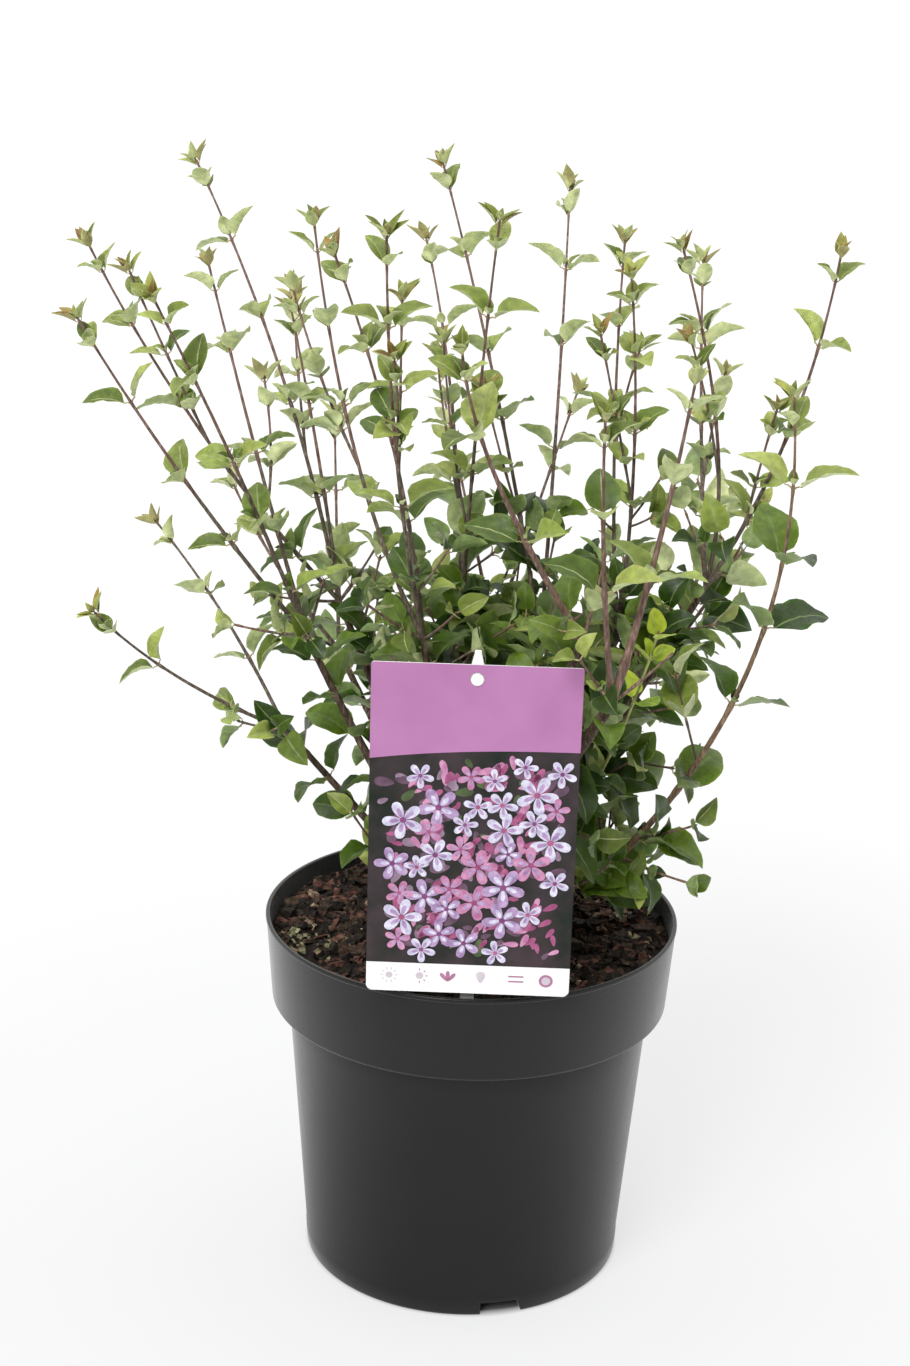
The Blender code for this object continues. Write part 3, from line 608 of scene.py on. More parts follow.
# Shapes
def circle(sides, radius=1.0):
    """The (x, y) of each point round a circle."""
    angles = [math.tau * k / sides for k in range(sides)]
    return [(radius * math.cos(angle), radius * math.sin(angle)) for angle in angles]


def bands(first, rings, sides):
    """Faces between rings of points in a row, from the number of the first ring's first point."""
    starts = range(first, first + rings * sides, sides)
    return [(low + k, low + (k + 1) % sides, high + (k + 1) % sides, high + k)
            for low, high in zip(starts, starts[1:]) for k in range(sides)]


def cone(ring, tip, sides):
    """Faces between a ring of points and one point."""
    return [(ring + k, ring + (k + 1) % sides, tip) for k in range(sides)]


def turned_over(faces):
    return [face[:1] + face[:0:-1] for face in faces]


def lathe(profile, sides):
    """Points and faces of a closed profile of (radius, height) turned round Z. Its ends lie on the axis."""
    points = [(x, y, height) for radius, height in profile[1:-1] for x, y in circle(sides, radius)]
    points = [(0, 0, profile[0][1])] + points + [(0, 0, profile[-1][1])]
    last = len(points) - 1
    faces = turned_over(cone(1, 0, sides)) + bands(1, len(profile) - 2, sides)
    return points, faces + cone(last - sides, last, sides)


def prism(outline, low, high):
    """Points and faces of an (x, z) outline, anticlockwise seen from -Y, between two y values."""
    count = len(outline)
    points = [(x, y, z) for y in (low, high) for x, z in outline]
    faces = [tuple(range(count)), tuple(range(2 * count - 1, count - 1, -1))]
    return points, faces + turned_over(bands(0, 2, count))


def bezier(start, middle, end, share):
    """A point on a quadratic curve."""
    rest = 1 - share
    return start * rest * rest + middle * 2 * share * rest + end * share * share


def rounded(profile, steps=5):
    """The profile with corners rounded, where a corner's third number says how far the round reaches."""
    made = []
    for k, (x, z, *reach) in enumerate(profile):
        if not reach:
            made.append((x, z))
            continue
        before, here, after = (np.array(profile[n][:2], float) for n in (k - 1, k, k + 1))
        start, end = (here + (far - here) / np.linalg.norm(far - here) * reach[0] for far in (before, after))
        made += [tuple(bezier(start, here, end, n / steps)) for n in range(steps + 1)]
    return made


def smooth_tube(points, radii, sides, relief=None):
    """Points and faces of a limb: radii by ring, and relief by ring and side if given."""
    made = []
    side = Vector((0.3, 1, 0.2))
    for k, point in enumerate(points):
        along = (points[min(k + 1, len(points) - 1)] - points[max(k - 1, 0)]).normalized()
        side = (side - along * side.dot(along)).normalized()
        across = along.cross(side)
        for n, (cosine, sine) in enumerate(circle(sides)):
            reach = radii[k] + (relief[k][n] if relief else 0)
            made.append(point + (side * cosine + across * sine) * reach)
    ends = [tuple(range(sides - 1, -1, -1)), tuple(range(len(made) - sides, len(made)))]
    return made, ends + bands(0, len(points), sides)


def layered(place, layers):
    """Noise at a place, added up over layers of (scale, height)."""
    return sum(noise.noise(place * scale) * height for scale, height in layers)


# The plant's rule, as in the solids
def curve_points(start, end, bow, steps):
    """Points along the curve between two places that bows sideways and up off the straight line."""
    middle = (start + end) / 2 + Vector((bow[0], 0, bow[1]))
    return [bezier(start, middle, end, k / steps) for k in range(steps + 1)]


def spans_of(points):
    return [(high - low).length for low, high in zip(points, points[1:])]


def shoot_nodes(length, node):
    """Distances from a shoot's tip to its leaf pairs, close at the tip and wider below."""
    found = list(FIRST_NODES)
    step = FIRST_NODES[1] - FIRST_NODES[0]
    while found[-1] < length:
        step = min(step * NODE_GROWTH, node)
        found.append(found[-1] + step)
    return [distance for distance in found if distance < length - BARE_FOOT]


def leaning(along, angle, lean):
    """A direction that leans off a limb's own, towards an angle round it that starts level."""
    level = Vector((0, 0, 1)).cross(along)
    level = level.normalized() if level.length > 0.05 else Vector((1, 0, 0))
    out = level * math.cos(angle) + along.cross(level) * math.sin(angle)
    return along * math.cos(lean) + out * math.sin(lean)


def place_along(points, distance):
    """The place at a distance up from the foot of a limb, and the limb's direction there."""
    for low, high, span in zip(points, points[1:], spans_of(points)):
        if distance <= span:
            break
        distance -= span
    share = max(0.0, min(1.0, distance / span))
    return low.lerp(high, share), (high - low).normalized()


def crown_axis(height):
    """The crown's centre at a height above the soil, which leans a little."""
    share = height / CROWN_HEIGHT
    return Vector((CROWN_LEAN[0] * share, CROWN_LEAN[1] * share, SOIL_TOP + GAP + height))


def crown_radius(height):
    """The crown's plain radius at a height above the soil."""
    for (low, wide), (high, narrow) in zip(CROWN_PROFILE, CROWN_PROFILE[1:]):
        if height <= high:
            return wide + (narrow - wide) * (height - low) / (high - low)
    return CROWN_PROFILE[-1][1]


def crown_foot(target, height):
    """Where a limb that leads to the target starts, a little way inside the crown."""
    heading = math.atan2(target.y, target.x)
    out = Vector((math.cos(heading), math.sin(heading), 0))
    surface = crown_axis(height) + out * crown_radius(height)
    return surface - (target - surface).normalized() * LIMB_SUNK


def short_shoots(fork, along, count, draw):
    """Short leafy shoots that splay round a fork and fill the inside of the plant."""
    made = []
    first = draw.uniform(0, 360)
    for k in range(count):
        angle = math.radians(first + 360 * k / count + draw.uniform(-SHORT_TURN_SPREAD, SHORT_TURN_SPREAD))
        direction = leaning(along, angle, math.radians(draw.uniform(*SHORT_LEAN)))
        made.append(Shoot(fork + direction * draw.uniform(*SHORT_LENGTH), **SHORT_SHAPE))
    return made


# A leaf: its foot on the twig, the directions of the twig, of itself and of its upper face, its sizes,
# how far it is from the twig's tip, and the twig's radius
Leaf = namedtuple("Leaf", "foot along direction face length width from_tip radius")


def leaf_pair(points, distance, turn, size, opening, radius, draw):
    """The two opposite leaves of one node, at a distance from the tip of a limb."""
    place, along = place_along(points, sum(spans_of(points)) - distance)
    pair = []
    for opposite in (0, math.pi):
        angle = turn + opposite + math.radians(draw.uniform(-LEAF_TURN_SPREAD, LEAF_TURN_SPREAD))
        opened = math.radians(opening * draw.uniform(*ANGLE_SPREAD))
        direction = leaning(along, angle, opened).normalized()
        face = (along - direction * along.dot(direction)).normalized()
        length = size * draw.uniform(*LEAF_LENGTHS)
        width = length * draw.uniform(*LEAF_WIDTHS)
        pair.append(Leaf(place, along, direction, face, length, width, distance, radius))
    return pair


def next_pair(draw):
    """How far a leaf pair is turned from the one before, near enough at right angles."""
    return math.radians(90 + draw.uniform(-PAIR_TURN_SPREAD, PAIR_TURN_SPREAD))


def radius_at(shoot, share):
    """A shoot's radius at a share of its length from the tip."""
    return SHOOT_TIP_RADIUS + (shoot.girth - SHOOT_TIP_RADIUS) * share


def shoot_leaves(coarse, points, shoot, draw):
    """Each leaf along a shoot, from its tip down."""
    total = sum(spans_of(coarse))
    leaves = []
    turn = draw.uniform(0, math.pi)
    for distance in shoot_nodes(total, shoot.node):
        walked = distance * draw.uniform(*NODE_SPREAD)
        size = TIP_LEAF + (shoot.leaf - TIP_LEAF) * min(1.0, distance / FULL_LEAF_AT)
        opening = LEAF_ANGLES[0] + (LEAF_ANGLES[1] - LEAF_ANGLES[0]) * min(1.0, distance / FULL_ANGLE_AT)
        turn += next_pair(draw)
        leaves += leaf_pair(points, walked, turn, size, opening, radius_at(shoot, walked / total), draw)
    return leaves


# Leaf blades
def blade_topology(rows, columns):
    """Faces and finish numbers of a closed blade: upper grid, lower grid, shared edge, for each leaf tone."""
    lower = {}
    number = rows * columns
    for r in range(rows):
        for c in range(columns):
            inner = 0 < r < rows - 1 and 0 < c < columns - 1
            lower[r, c] = number if inner else r * columns + c
            number += inner
    faces, slots = [], []
    for r in range(rows - 1):
        for c in range(columns - 1):
            low, high = r * columns + c, (r + 1) * columns + c
            faces.append((low, low + 1, high + 1, high))
            slots.append(LEAF_TONES + 1 if c == columns // 2 - 1 else 0)
            faces.append((lower[r, c], lower[r + 1, c], lower[r + 1, c + 1], lower[r, c + 1]))
            slots.append(LEAF_TONES)
    return faces, [[slot or tone for slot in slots] for tone in range(LEAF_TONES)]


BLADES = {kind.rows: blade_topology(kind.rows, len(LEAF_COLUMNS)) for kind in KINDS.values()}


def blade(leaf, kind, draw):
    """Points of a leaf's blade: ovate and pointed, folded on its rib, arched back, wavy at its edge."""
    share = np.linspace(0.0, 1.0, kind.rows)[:, None]
    across = np.array(LEAF_COLUMNS)[None, :]
    length = leaf.length * (1 - PETIOLE_SHARE)
    half = leaf.width * kind.width / 2 * np.sin(math.pi * share ** kind.skew) ** kind.blunt
    half = half + FOOT_HALF_WIDTH * (1 - share) + LEAST_HALF_WIDTH
    tilt = math.radians(kind.curl * draw.uniform(*CURL_SPREAD)) * (CURL_LEVEL_AT - share)
    step = length / (kind.rows - 1)
    heading = (tilt[:-1] + tilt[1:]) / 2
    forward = np.concatenate([[[0.0]], np.cumsum(np.cos(heading), axis=0) * step])
    rise = np.concatenate([[[0.0]], np.cumsum(np.sin(heading), axis=0) * step])
    fold = math.radians(kind.fold * draw.uniform(*FOLD_SPREAD)) * (1 - FOLD_EASE * share)
    waves = draw.uniform(*WAVES)
    phase = draw.uniform(0, math.tau)
    ripple = np.sin(math.tau * waves * share + phase + np.sign(across) * draw.uniform(*WAVE_LAG))
    lift = np.abs(across) * half * np.sin(fold) + kind.wave * half * ripple * across ** 2
    if kind.pleats:
        veins = math.tau * kind.pleats * (share - PLEAT_SLANT * np.abs(across)) + draw.uniform(0, math.tau)
        lift = lift + PLEAT * length * np.cos(veins) * np.sin(math.pi * share)
    sideways = across * half * np.cos(fold)
    twist = math.radians(draw.uniform(-LEAF_TWIST, LEAF_TWIST)) * share
    x = sideways * np.cos(twist) - lift * np.sin(twist)
    up = sideways * np.sin(twist) + lift * np.cos(twist)
    upper = np.stack([x, forward - up * np.sin(tilt), rise + up * np.cos(tilt)], -1)
    normal = np.stack([np.zeros_like(tilt), -np.sin(tilt), np.cos(tilt)], -1)
    lower = (upper - normal * LEAF_THICK)[1:-1, 1:-1]
    local = np.concatenate([upper.reshape(-1, 3), lower.reshape(-1, 3)])
    return local @ np.array([leaf.direction.cross(leaf.face), leaf.direction, leaf.face])


def petiole(leaf):
    """The leaf's short stalk, from inside the twig. Returns its tube and the blade's foot."""
    reach = leaf.length * PETIOLE_SHARE + leaf.radius
    end = leaf.foot + leaf.direction * reach - leaf.face * PETIOLE_DROP
    out, on = PETIOLE_BEND
    middle = leaf.foot + leaf.along * reach * out + leaf.direction * reach * on
    girth = PETIOLE_RADIUS * min(1.0, leaf.length / FULL_PETIOLE_AT)
    radii = [girth * share for share in PETIOLE_TAPER]
    points = [bezier(leaf.foot, middle, end, k / (len(radii) - 1)) for k in range(len(radii))]
    return smooth_tube(points, radii, PETIOLE_SIDES), end


# Growing the plant
def twig_shell(points, foot_radius, tip_radius, nodes, draw):
    """A shoot's stem with a swelling at each leaf pair and a slightly uneven skin."""
    spans = spans_of(points)
    total = sum(spans)
    radii, relief = [], []
    for walked in accumulate(spans, initial=0.0):
        near = min((abs(total - walked - node) for node in nodes), default=math.inf)
        swell = 1 + NODE_SWELL * math.exp(-(near / NODE_SWELL_REACH) ** 2)
        radii.append((foot_radius + (tip_radius - foot_radius) * walked / total) * swell)
        relief.append([radii[-1] * draw.uniform(-TWIG_RELIEF, TWIG_RELIEF) for _ in range(TWIG_SIDES)])
    return smooth_tube(points, radii, TWIG_SIDES, relief)


def bark_shell(points, foot_radius, tip_radius, seed):
    """A bough with its bark: lengthwise ridges, flaking plates and ring scars."""
    spans = spans_of(points)
    across, up, apart = BARK_GRAIN
    coarse, fine, slip = BARK_RIDGES
    radii, relief = [], []
    for walked in accumulate(spans, initial=0.0):
        radius = foot_radius + (tip_radius - foot_radius) * walked / sum(spans)
        scar = (walked % SCAR_SPACING - SCAR_SPACING / 2) / SCAR_WIDTH
        radii.append(radius + SCAR_HEIGHT * math.exp(-scar ** 2))
        row = []
        for x, y in circle(BARK_SIDES, radius * across):
            place = Vector((x, y, walked * up + seed * apart))
            ridge = noise.noise(place * coarse)
            ridge += noise.noise(place * fine + Vector((0, 0, walked * slip))) / 2
            row.append(BARK_RELIEF * ridge * radius)
        relief.append(row)
    return smooth_tube(points, radii, BARK_SIDES, relief)


def within(place, ellipsoid):
    return sum(((a - b) / c) ** 2 for a, b, c in zip(place, *ellipsoid)) < 1


def in_pocket(points):
    """Whether a leaf covers the open pocket in front of the young low shoot, as the camera sees it."""
    x, y, z = points.T
    if y.min() > POCKET_BACK:
        return False
    _, eye_y, eye_z = (c / MM for c in CAMERA_PLACE)
    share = (POCKET_BACK - eye_y) / (y - eye_y)
    across, up = x * share, eye_z + (z - eye_z) * share
    west, east, low, high = POCKET
    return bool(((across > west) & (across < east) & (up > low) & (up < high)).any())


def kind_at(kinds, from_tip, draw):
    """The kind of a leaf at a distance from its shoot's tip."""
    names, *chances = next(row[1:] for row in DOWN[kinds] if from_tip < row[0])
    if isinstance(names, str):
        return names
    return draw.choices(names, *chances)[0] if chances else draw.choice(names)


class Plant:
    """The plant's growing pieces, gathered kind by kind, and the solids that leaves keep clear of."""

    def __init__(self):
        self.boughs = Shells()
        self.twigs = Shells()
        self.stalks = Shells()
        self.blades = {kind: [Shells()] for kind in KINDS}
        self.walls = []
        for name in ("label_card", "pot", "label_stick"):
            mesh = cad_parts[name].data
            points = [vert.co / MM for vert in mesh.vertices]
            self.walls.append(BVHTree.FromPolygons(points, [tuple(face.vertices) for face in mesh.polygons]))

    def clear(self, points, faces):
        """Whether a shell is above the soil and clear of the pot, the card and its stick."""
        if points[:, 2].min() < SOIL_TOP + 1.0:
            return False
        tree = BVHTree.FromPolygons(points.tolist(), faces)
        return not any(tree.overlap(wall) for wall in self.walls)

    def leaf(self, leaf, name, draw):
        """Adds a leaf of a kind, with its stalk, where it has room. Deep inside the plant most are dark,
        partly as old leaves and partly as painted shade.
        """
        # Painted shade, in part: leaves deep inside the plant turn dark
        if name in ("green", "young") and within(leaf.foot, SHADED_OLD_CORE) and draw.random() < SHADED_OLD_CORE_SHARE:
            name = "dark"
        kind = KINDS[name]
        stalk, foot = petiole(leaf)
        faces, slots = BLADES[kind.rows]
        points = blade(leaf, kind, draw) + np.array(foot)
        if not self.clear(points, faces) or (name != "lime" and in_pocket(points)):
            return
        self.stalks.add(*stalk, int(name == "lime"))
        if len(self.blades[name][-1].faces) > PIECE_FACES:
            self.blades[name].append(Shells())
        self.blades[name][-1].add(points, faces, slots[int(draw.random() * LEAF_TONES)])

    def shoot(self, start, shoot, kinds, draw, tuft=True, barks=(0, 1)):
        """Grows a shoot: stem, leaves, the tuft at its tip or none, its end bud and leaves in its axils."""
        tip = Vector(shoot.tip)
        coarse = curve_points(start, tip, shoot.bow, SHOOT_STEPS)
        points = curve_points(start, tip, shoot.bow, max(6, int((tip - start).length / TWIG_STEP)))
        leaves = shoot_leaves(coarse, points, shoot, draw)
        extra = random.Random(draw.random())
        nodes = sorted({leaf.from_tip for leaf in leaves})
        if not tuft and kinds != "lime":
            points = [point for point in points if (point - points[-1]).length > TIP_CUT]
            leaves = [leaf for leaf in leaves if leaf.from_tip > TIP_CUT]
            nodes = [node - TIP_CUT for node in nodes[1:]]
        change = len(points) * BARK_CHANGE
        slots = list(barks) + [barks[k > change] for k in range(len(points) - 1) for _ in range(TWIG_SIDES)]
        self.twigs.add(*twig_shell(points, shoot.girth, SHOOT_TIP_RADIUS, nodes, extra), slots)
        for leaf in leaves:
            self.leaf(leaf, kind_at(kinds, leaf.from_tip, extra), extra)
        turn = extra.uniform(0, math.pi)
        for distance, size, opening in TUFT_LEAVES if tuft else ():
            turn += math.pi / 2
            size *= extra.uniform(*TUFT_SPREAD)
            for leaf in leaf_pair(points, distance, turn, size, opening, SHOOT_TIP_RADIUS, extra):
                self.leaf(leaf, kind_at(kinds, 0, extra), extra)
        total = sum(spans_of(points))
        place, along = place_along(points, total)
        bud = [place + along * BUD_LENGTH * share for share, _ in BUD_PROFILE]
        self.stalks.add(*smooth_tube(bud, [radius for _, radius in BUD_PROFILE], BUD_SIDES), 2)
        for node in nodes[1:]:
            if node > total - BARE_FOOT or extra.random() < AXIL_BARE:
                continue
            turn, size = extra.uniform(0, math.pi), extra.uniform(*AXIL_LEAF)
            radius = radius_at(shoot, node / total)
            for leaf in leaf_pair(points, node - AXIL_ABOVE, turn, size, AXIL_ANGLE, radius, extra):
                self.leaf(leaf, kind_at(kinds, node, extra), extra)
        return points

    def bough_leaves(self, points, draw):
        """Big dark leaf pairs on the upper half of a bough."""
        distance, turn = draw.uniform(*BOUGH_LEAVES_FROM), draw.uniform(0, math.pi)
        while distance < sum(spans_of(points)) * BOUGH_LEAVES_TO:
            turn += next_pair(draw)
            pair = leaf_pair(points, distance, turn, BOUGH_LEAF, BOUGH_LEAF_ANGLE, BOUGH_FOOT_RADIUS, draw)
            for leaf in pair:
                self.leaf(leaf, "dark", draw)
            distance += draw.uniform(*BOUGH_NODE)

    def branch(self, points, stretch, leans, draw):
        """Where a branch starts on a stretch of a limb, and its direction."""
        place, along = place_along(points, sum(spans_of(points)) * draw.uniform(*stretch))
        return place, leaning(along, draw.uniform(0, math.tau), math.radians(draw.uniform(*leans)))

    def sprigs(self, points, count, low, high, draw):
        """Short sprigs along a stretch of a limb, of which those grow whose tips lie in the cores."""
        for _ in range(count):
            place, direction = self.branch(points, (low, high), SPRIG_LEAN, draw)
            tip = place + direction * draw.uniform(*SPRIG_LENGTH)
            sprig = Shoot(tip, leaf=SPRIG_LEAF * draw.uniform(*SPRIG_LEAVES), **SPRIG_SHAPE)
            if any(within(tip, core) for core in CORES):
                self.shoot(place, sprig, "inner", draw, False)

    def side_shoot(self, points, draw):
        """A slender young shoot that rises beside a long one."""
        place, direction = self.branch(points, SIDE_FOOT, SIDE_LEAN, draw)
        length = min(draw.uniform(*SIDE_LENGTH), sum(spans_of(points)) * SIDE_LONGEST)
        bow = (draw.uniform(-SIDE_BOW, SIDE_BOW), -2)
        side = Shoot(place + direction * length, bow, leaf=draw.uniform(*SIDE_LEAF), **SIDE_SHAPE)
        self.shoot(place, side, "side", draw)


def stream(mass, number):
    """A mass's own numbered stream of chances."""
    return random.Random(SEED + STREAMS * mass + number)


def grow(plant):
    """Boughs, shoots, sprigs and leaves, from the crown."""
    for number, fan in enumerate(FANS.values()):
        fork = Vector(fan.fork)
        start = crown_foot(fork, fan.foot)
        low, high = curve_points(start, fork, fan.bow, BOUGH_STEPS)[-2:]
        along = (high - low).normalized()
        girth = max(shoot.girth for shoot in fan.shoots)
        tip_radius = girth + FORK_SWELL
        foot_radius = max(BOUGH_FOOT_RADIUS, tip_radius + LEAST_TAPER)
        line = curve_points(start, fork, fan.bow, int((fork - start).length / BARK_STEP))
        plant.boughs.add(*bark_shell(line, foot_radius, tip_radius, number))
        base = fork - along * FORK_SUNK
        top = fork + along * (GAP + FORK_LENGTH)
        inside = top - along * SHOOT_SUNK
        stem = [base.lerp(top, k / FORK_STEPS) for k in range(FORK_STEPS + 1)]
        own = stream(number, STREAMS - 1)
        plant.twigs.add(*twig_shell(stem, tip_radius, girth, [], own), 0)
        for order, shoot in enumerate(fan.shoots):
            points = plant.shoot(inside, shoot, fan.kinds, stream(number, 1 + order), True, fan.barks)
            plant.sprigs(points, *SPRIGS_BY_SHOOT, own)
            tall = shoot.tip[2] > SIDE_SHOOTS_ABOVE
            if tall and fan.kinds == "long" and own.random() < SIDE_SHOOTS:
                plant.side_shoot(points, own)
        shorts = short_shoots(inside, along, fan.shorts, stream(number, 0))
        for order, shoot in enumerate(shorts, len(fan.shoots)):
            plant.shoot(inside, shoot, fan.short_kinds, stream(number, 1 + order), False, fan.barks)
        plant.sprigs(line, *SPRIGS_BY_BOUGH, own)
        plant.bough_leaves(line, own)
    for number, (name, (shoot, foot)) in enumerate(LOW_SHOOTS.items(), len(FANS)):
        kinds, barks = ("lime", (1, 2)) if name == "low_right_young" else ("inner", (0, 1))
        plant.shoot(crown_foot(Vector(shoot.tip), foot), shoot, kinds, stream(number, 1), False, barks)


def crown_shell():
    """The crown with its root flares, ridged bark and blunt top."""
    across, up = CROWN_GRAIN
    points = []
    for k in range(CROWN_RINGS):
        height = CROWN_SHOULDER * (k / (CROWN_RINGS - 1)) ** CROWN_CLOSER
        lobes = CROWN_FLARE_DEPTH * max(0.0, 1 - height / CROWN_FLARE_TOP)
        for n, (x, y) in enumerate(circle(CROWN_SIDES)):
            ridge = layered(Vector((x * across, y * across, height * up)), CROWN_RIDGES)
            flare = 1 + lobes * math.cos(CROWN_FLARES * math.tau * n / CROWN_SIDES)
            reach = crown_radius(height) * flare + ridge * CROWN_RELIEF - CROWN_SUNK
            points.append(crown_axis(height) + Vector((x, y, 0)) * reach)
    points.append(crown_axis(CROWN_HEIGHT))
    last = (CROWN_RINGS - 1) * CROWN_SIDES
    faces = [tuple(range(CROWN_SIDES - 1, -1, -1))] + bands(0, CROWN_RINGS, CROWN_SIDES)
    return points, faces + cone(last, len(points) - 1, CROWN_SIDES)


def make_plant():
    """Turns the grown shells into pieces that replace the plant's solids."""
    plant = Plant()
    grow(plant)
    masses = [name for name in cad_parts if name.startswith("leaves_")]
    boughs = [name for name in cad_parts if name.startswith("bough_")]
    old, grey, red, tan = (bark_finish("bark_" + name, *looks) for name, looks in BARKS.items())
    stalk = leaf_finish("leaf_stalk", (0.33, 0.26, 0.13))
    lime_stalk = leaf_finish("lime_stalk", (0.36, 0.40, 0.14))
    bud = leaf_finish("bud_scale", (0.20, 0.13, 0.06))
    crown = Shells()
    crown.add(*crown_shell())
    crown.piece("crown_bark", [old], "bark", ["crown"], 70)
    plant.boughs.piece("bough_bark", [old], "bark", boughs, 70)
    plant.twigs.piece("twigs", [grey, red, lime_stalk, tan], "bark", masses, 70)
    plant.stalks.piece("leaf_stalks", [stalk, lime_stalk, bud], "leaf", masses, 70)
    for kind, pieces in plant.blades.items():
        finishes = [leaf_finish("leaf_%s_%d" % (kind, k), tone, KINDS[kind].roughness)
                    for k, tone in enumerate(TONES[kind], 1)]
        _, upper, _, lower = TONES[kind]
        rib = [RIB_MIX[0] * a + RIB_MIX[1] * b for a, b in zip(upper, lower)]
        finishes.append(leaf_finish("leaf_rib_" + kind, rib))
        for number, shells in enumerate(pieces, 1):
            shells.piece("foliage_%s_%d" % (kind, number), finishes, "leaf", masses, 60)


# Pot
def pot_profile():
    """The pot's closed profile, from its centre below, up the outside, over the rim and down inside."""
    inner, outer = GROOVE_RADII
    deck = GROOVE_DEPTH + FLOOR
    shelf = COLLAR_FOOT + WALL
    lip = RIM_TOP - LIP_HEIGHT
    return rounded([
        (0, 0), (inner - GROOVE_SLOPE, 0, 0.8), (inner, GROOVE_DEPTH, 0.8), (outer, GROOVE_DEPTH, 0.8),
        (FOOT_INNER, 0, 0.5), (FOOT_RADIUS - 0.2, 0, 1.6), (FOOT_RADIUS + FOOT_PROUD, FOOT_HEIGHT),
        (FOOT_RADIUS + FOOT_PROUD / 2, FOOT_HEIGHT + 0.5),
        (WALL_TOP_RADIUS, COLLAR_FOOT, 1.2), (COLLAR_FOOT_RADIUS, COLLAR_FOOT, 1.4),
        (RIM_RADIUS - LIP_PROUD, lip - LIP_PROUD, 0.2), (RIM_RADIUS, lip, 0.2),
        (RIM_RADIUS, RIM_TOP, 0.7), (RIM_RADIUS - LIP_PROUD - WALL, RIM_TOP, 0.6),
        (COLLAR_FOOT_RADIUS - WALL, shelf, 1.0), (WALL_TOP_RADIUS - WALL + 0.8, shelf),
        (WALL_TOP_RADIUS - WALL, shelf - 1.2),
        (FOOT_RADIUS - WALL + FOOT_PROUD, deck), (inner, deck), (inner - 3, FLOOR), (0, FLOOR),
    ])


def cut(obj, cutter):
    """Cuts one mesh from another and applies the result."""
    boolean = obj.modifiers.new("cut", "BOOLEAN")
    boolean.operation = "DIFFERENCE"
    boolean.solver = "EXACT"
    boolean.object = cutter
    bpy.context.view_layer.update()
    result = bpy.data.meshes.new_from_object(obj.evaluated_get(bpy.context.evaluated_depsgraph_get()))
    obj.modifiers.clear()
    obj.data = result
    bpy.data.objects.remove(cutter, do_unlink=True)


def loose_object(name, points, faces):
    """A helper object that isn't a piece."""
    mesh = bpy.data.meshes.new(name)
    mesh.from_pydata([tuple(c * MM for c in point) for point in points], [], faces)
    obj = bpy.data.objects.new(name, mesh)
    bpy.context.scene.collection.objects.link(obj)
    return obj


def make_pot():
    """The pot as a smooth turned shell with its notches and drain holes."""
    plastic = plastic_finish("pot_plastic", *POT_TONES, 0.26, 1500, 0.02, 0.27, POT_SHEEN)
    shells = Shells()
    shells.add(*lathe(pot_profile(), POT_SIDES))
    pot = shells.piece("pot_shell", [plastic], "pot", ["pot"], 50)
    half, over = NOTCH_WIDTH / 2, GROOVE_DEPTH + 0.5
    outline = [(-half, -1), (half, -1), (half - NOTCH_SLANT, over), (-half, over)]
    for k in range(NOTCH_COUNT):
        notch = loose_object("notch", *prism(outline, -FOOT_RADIUS - 6, -FOOT_INNER + 4))
        notch.rotation_euler.z = math.radians(90 + NOTCH_TURN + k * 360 / NOTCH_COUNT)
        cut(pot, notch)
    low, high = GROOVE_DEPTH - 1, GROOVE_DEPTH + FLOOR + 1
    middle = sum(GROOVE_RADII) / 2 * MM
    for k in range(DRAIN_COUNT):
        profile = [(0, low), (DRAIN_RADIUS, low), (DRAIN_RADIUS, high), (0, high)]
        drain = loose_object("drain", *lathe(profile, DRAIN_SIDES))
        angle = math.radians(NOTCH_TURN + k * 360 / DRAIN_COUNT)
        drain.location = (middle * math.cos(angle), middle * math.sin(angle), 0)
        cut(pot, drain)
    pot.data.shade_smooth()
    pot.data.set_sharp_from_angle(angle=math.radians(32))


# Soil
def soil_height(x, y):
    """The uneven surface of the potting soil, which drops towards the pot's wall."""
    edge = max(0.0, math.hypot(x, y) - SOIL_EDGE) / SOIL_EDGE_WIDTH
    lumps = layered(Vector((x, y, 0)), SOIL_LUMPS)
    return SOIL_TOP + lumps * (1 - SOIL_EDGE_CALM * edge) - SOIL_EDGE_DROP * edge


def make_bed(reach):
    """The soil bed: an uneven top over a plain fill of the pot."""
    rings = [circle(SOIL_SIDES, reach * ring / SOIL_RINGS) for ring in range(1, SOIL_RINGS + 1)]
    points = [(0, 0, soil_height(0, 0))] + [(x, y, soil_height(x, y)) for ring in rings for x, y in ring]
    below = [(reach, COLLAR_FOOT + 3), (WALL_TOP_RADIUS - WALL - GAP, COLLAR_FOOT - 0.5),
             (FOOT_RADIUS - WALL - GAP, GROOVE_DEPTH + FLOOR + GAP)]
    points += [(x, y, height) for radius, height in below for x, y in circle(SOIL_SIDES, radius)]
    faces = cone(1, 0, SOIL_SIDES) + turned_over(bands(1, SOIL_RINGS + len(below), SOIL_SIDES))
    faces.append(tuple(range(len(points) - 1, len(points) - 1 - SOIL_SIDES, -1)))
    peat = crumb_finish("peat", (0.004, 0.003, 0.002), (0.012, 0.008, 0.006), (0.045, 0.030, 0.022), 380)
    bed = Shells()
    bed.add(points, faces)
    bed.piece("soil_bed", [peat], "soil", ["soil"], 80)


def chip_size(tone, draw):
    """Length, width and thickness of a bit of moss, a crumb or a long chip."""
    if tone == MOSS:
        long = draw.uniform(1.2, 4.6)
        return long, long * draw.uniform(0.3, 0.8), long * draw.uniform(0.25, 0.6)
    if draw.random() < CRUMB_SHARE:
        long = draw.uniform(1.6, 6.8)
        wide = long * draw.uniform(0.4, 0.85)
        return long, wide, wide * draw.uniform(0.4, 0.9)
    long = draw.uniform(6.0, 15.0)
    wide = draw.uniform(1.3, 4.2)
    return long, wide, wide * draw.uniform(0.3, 0.8)


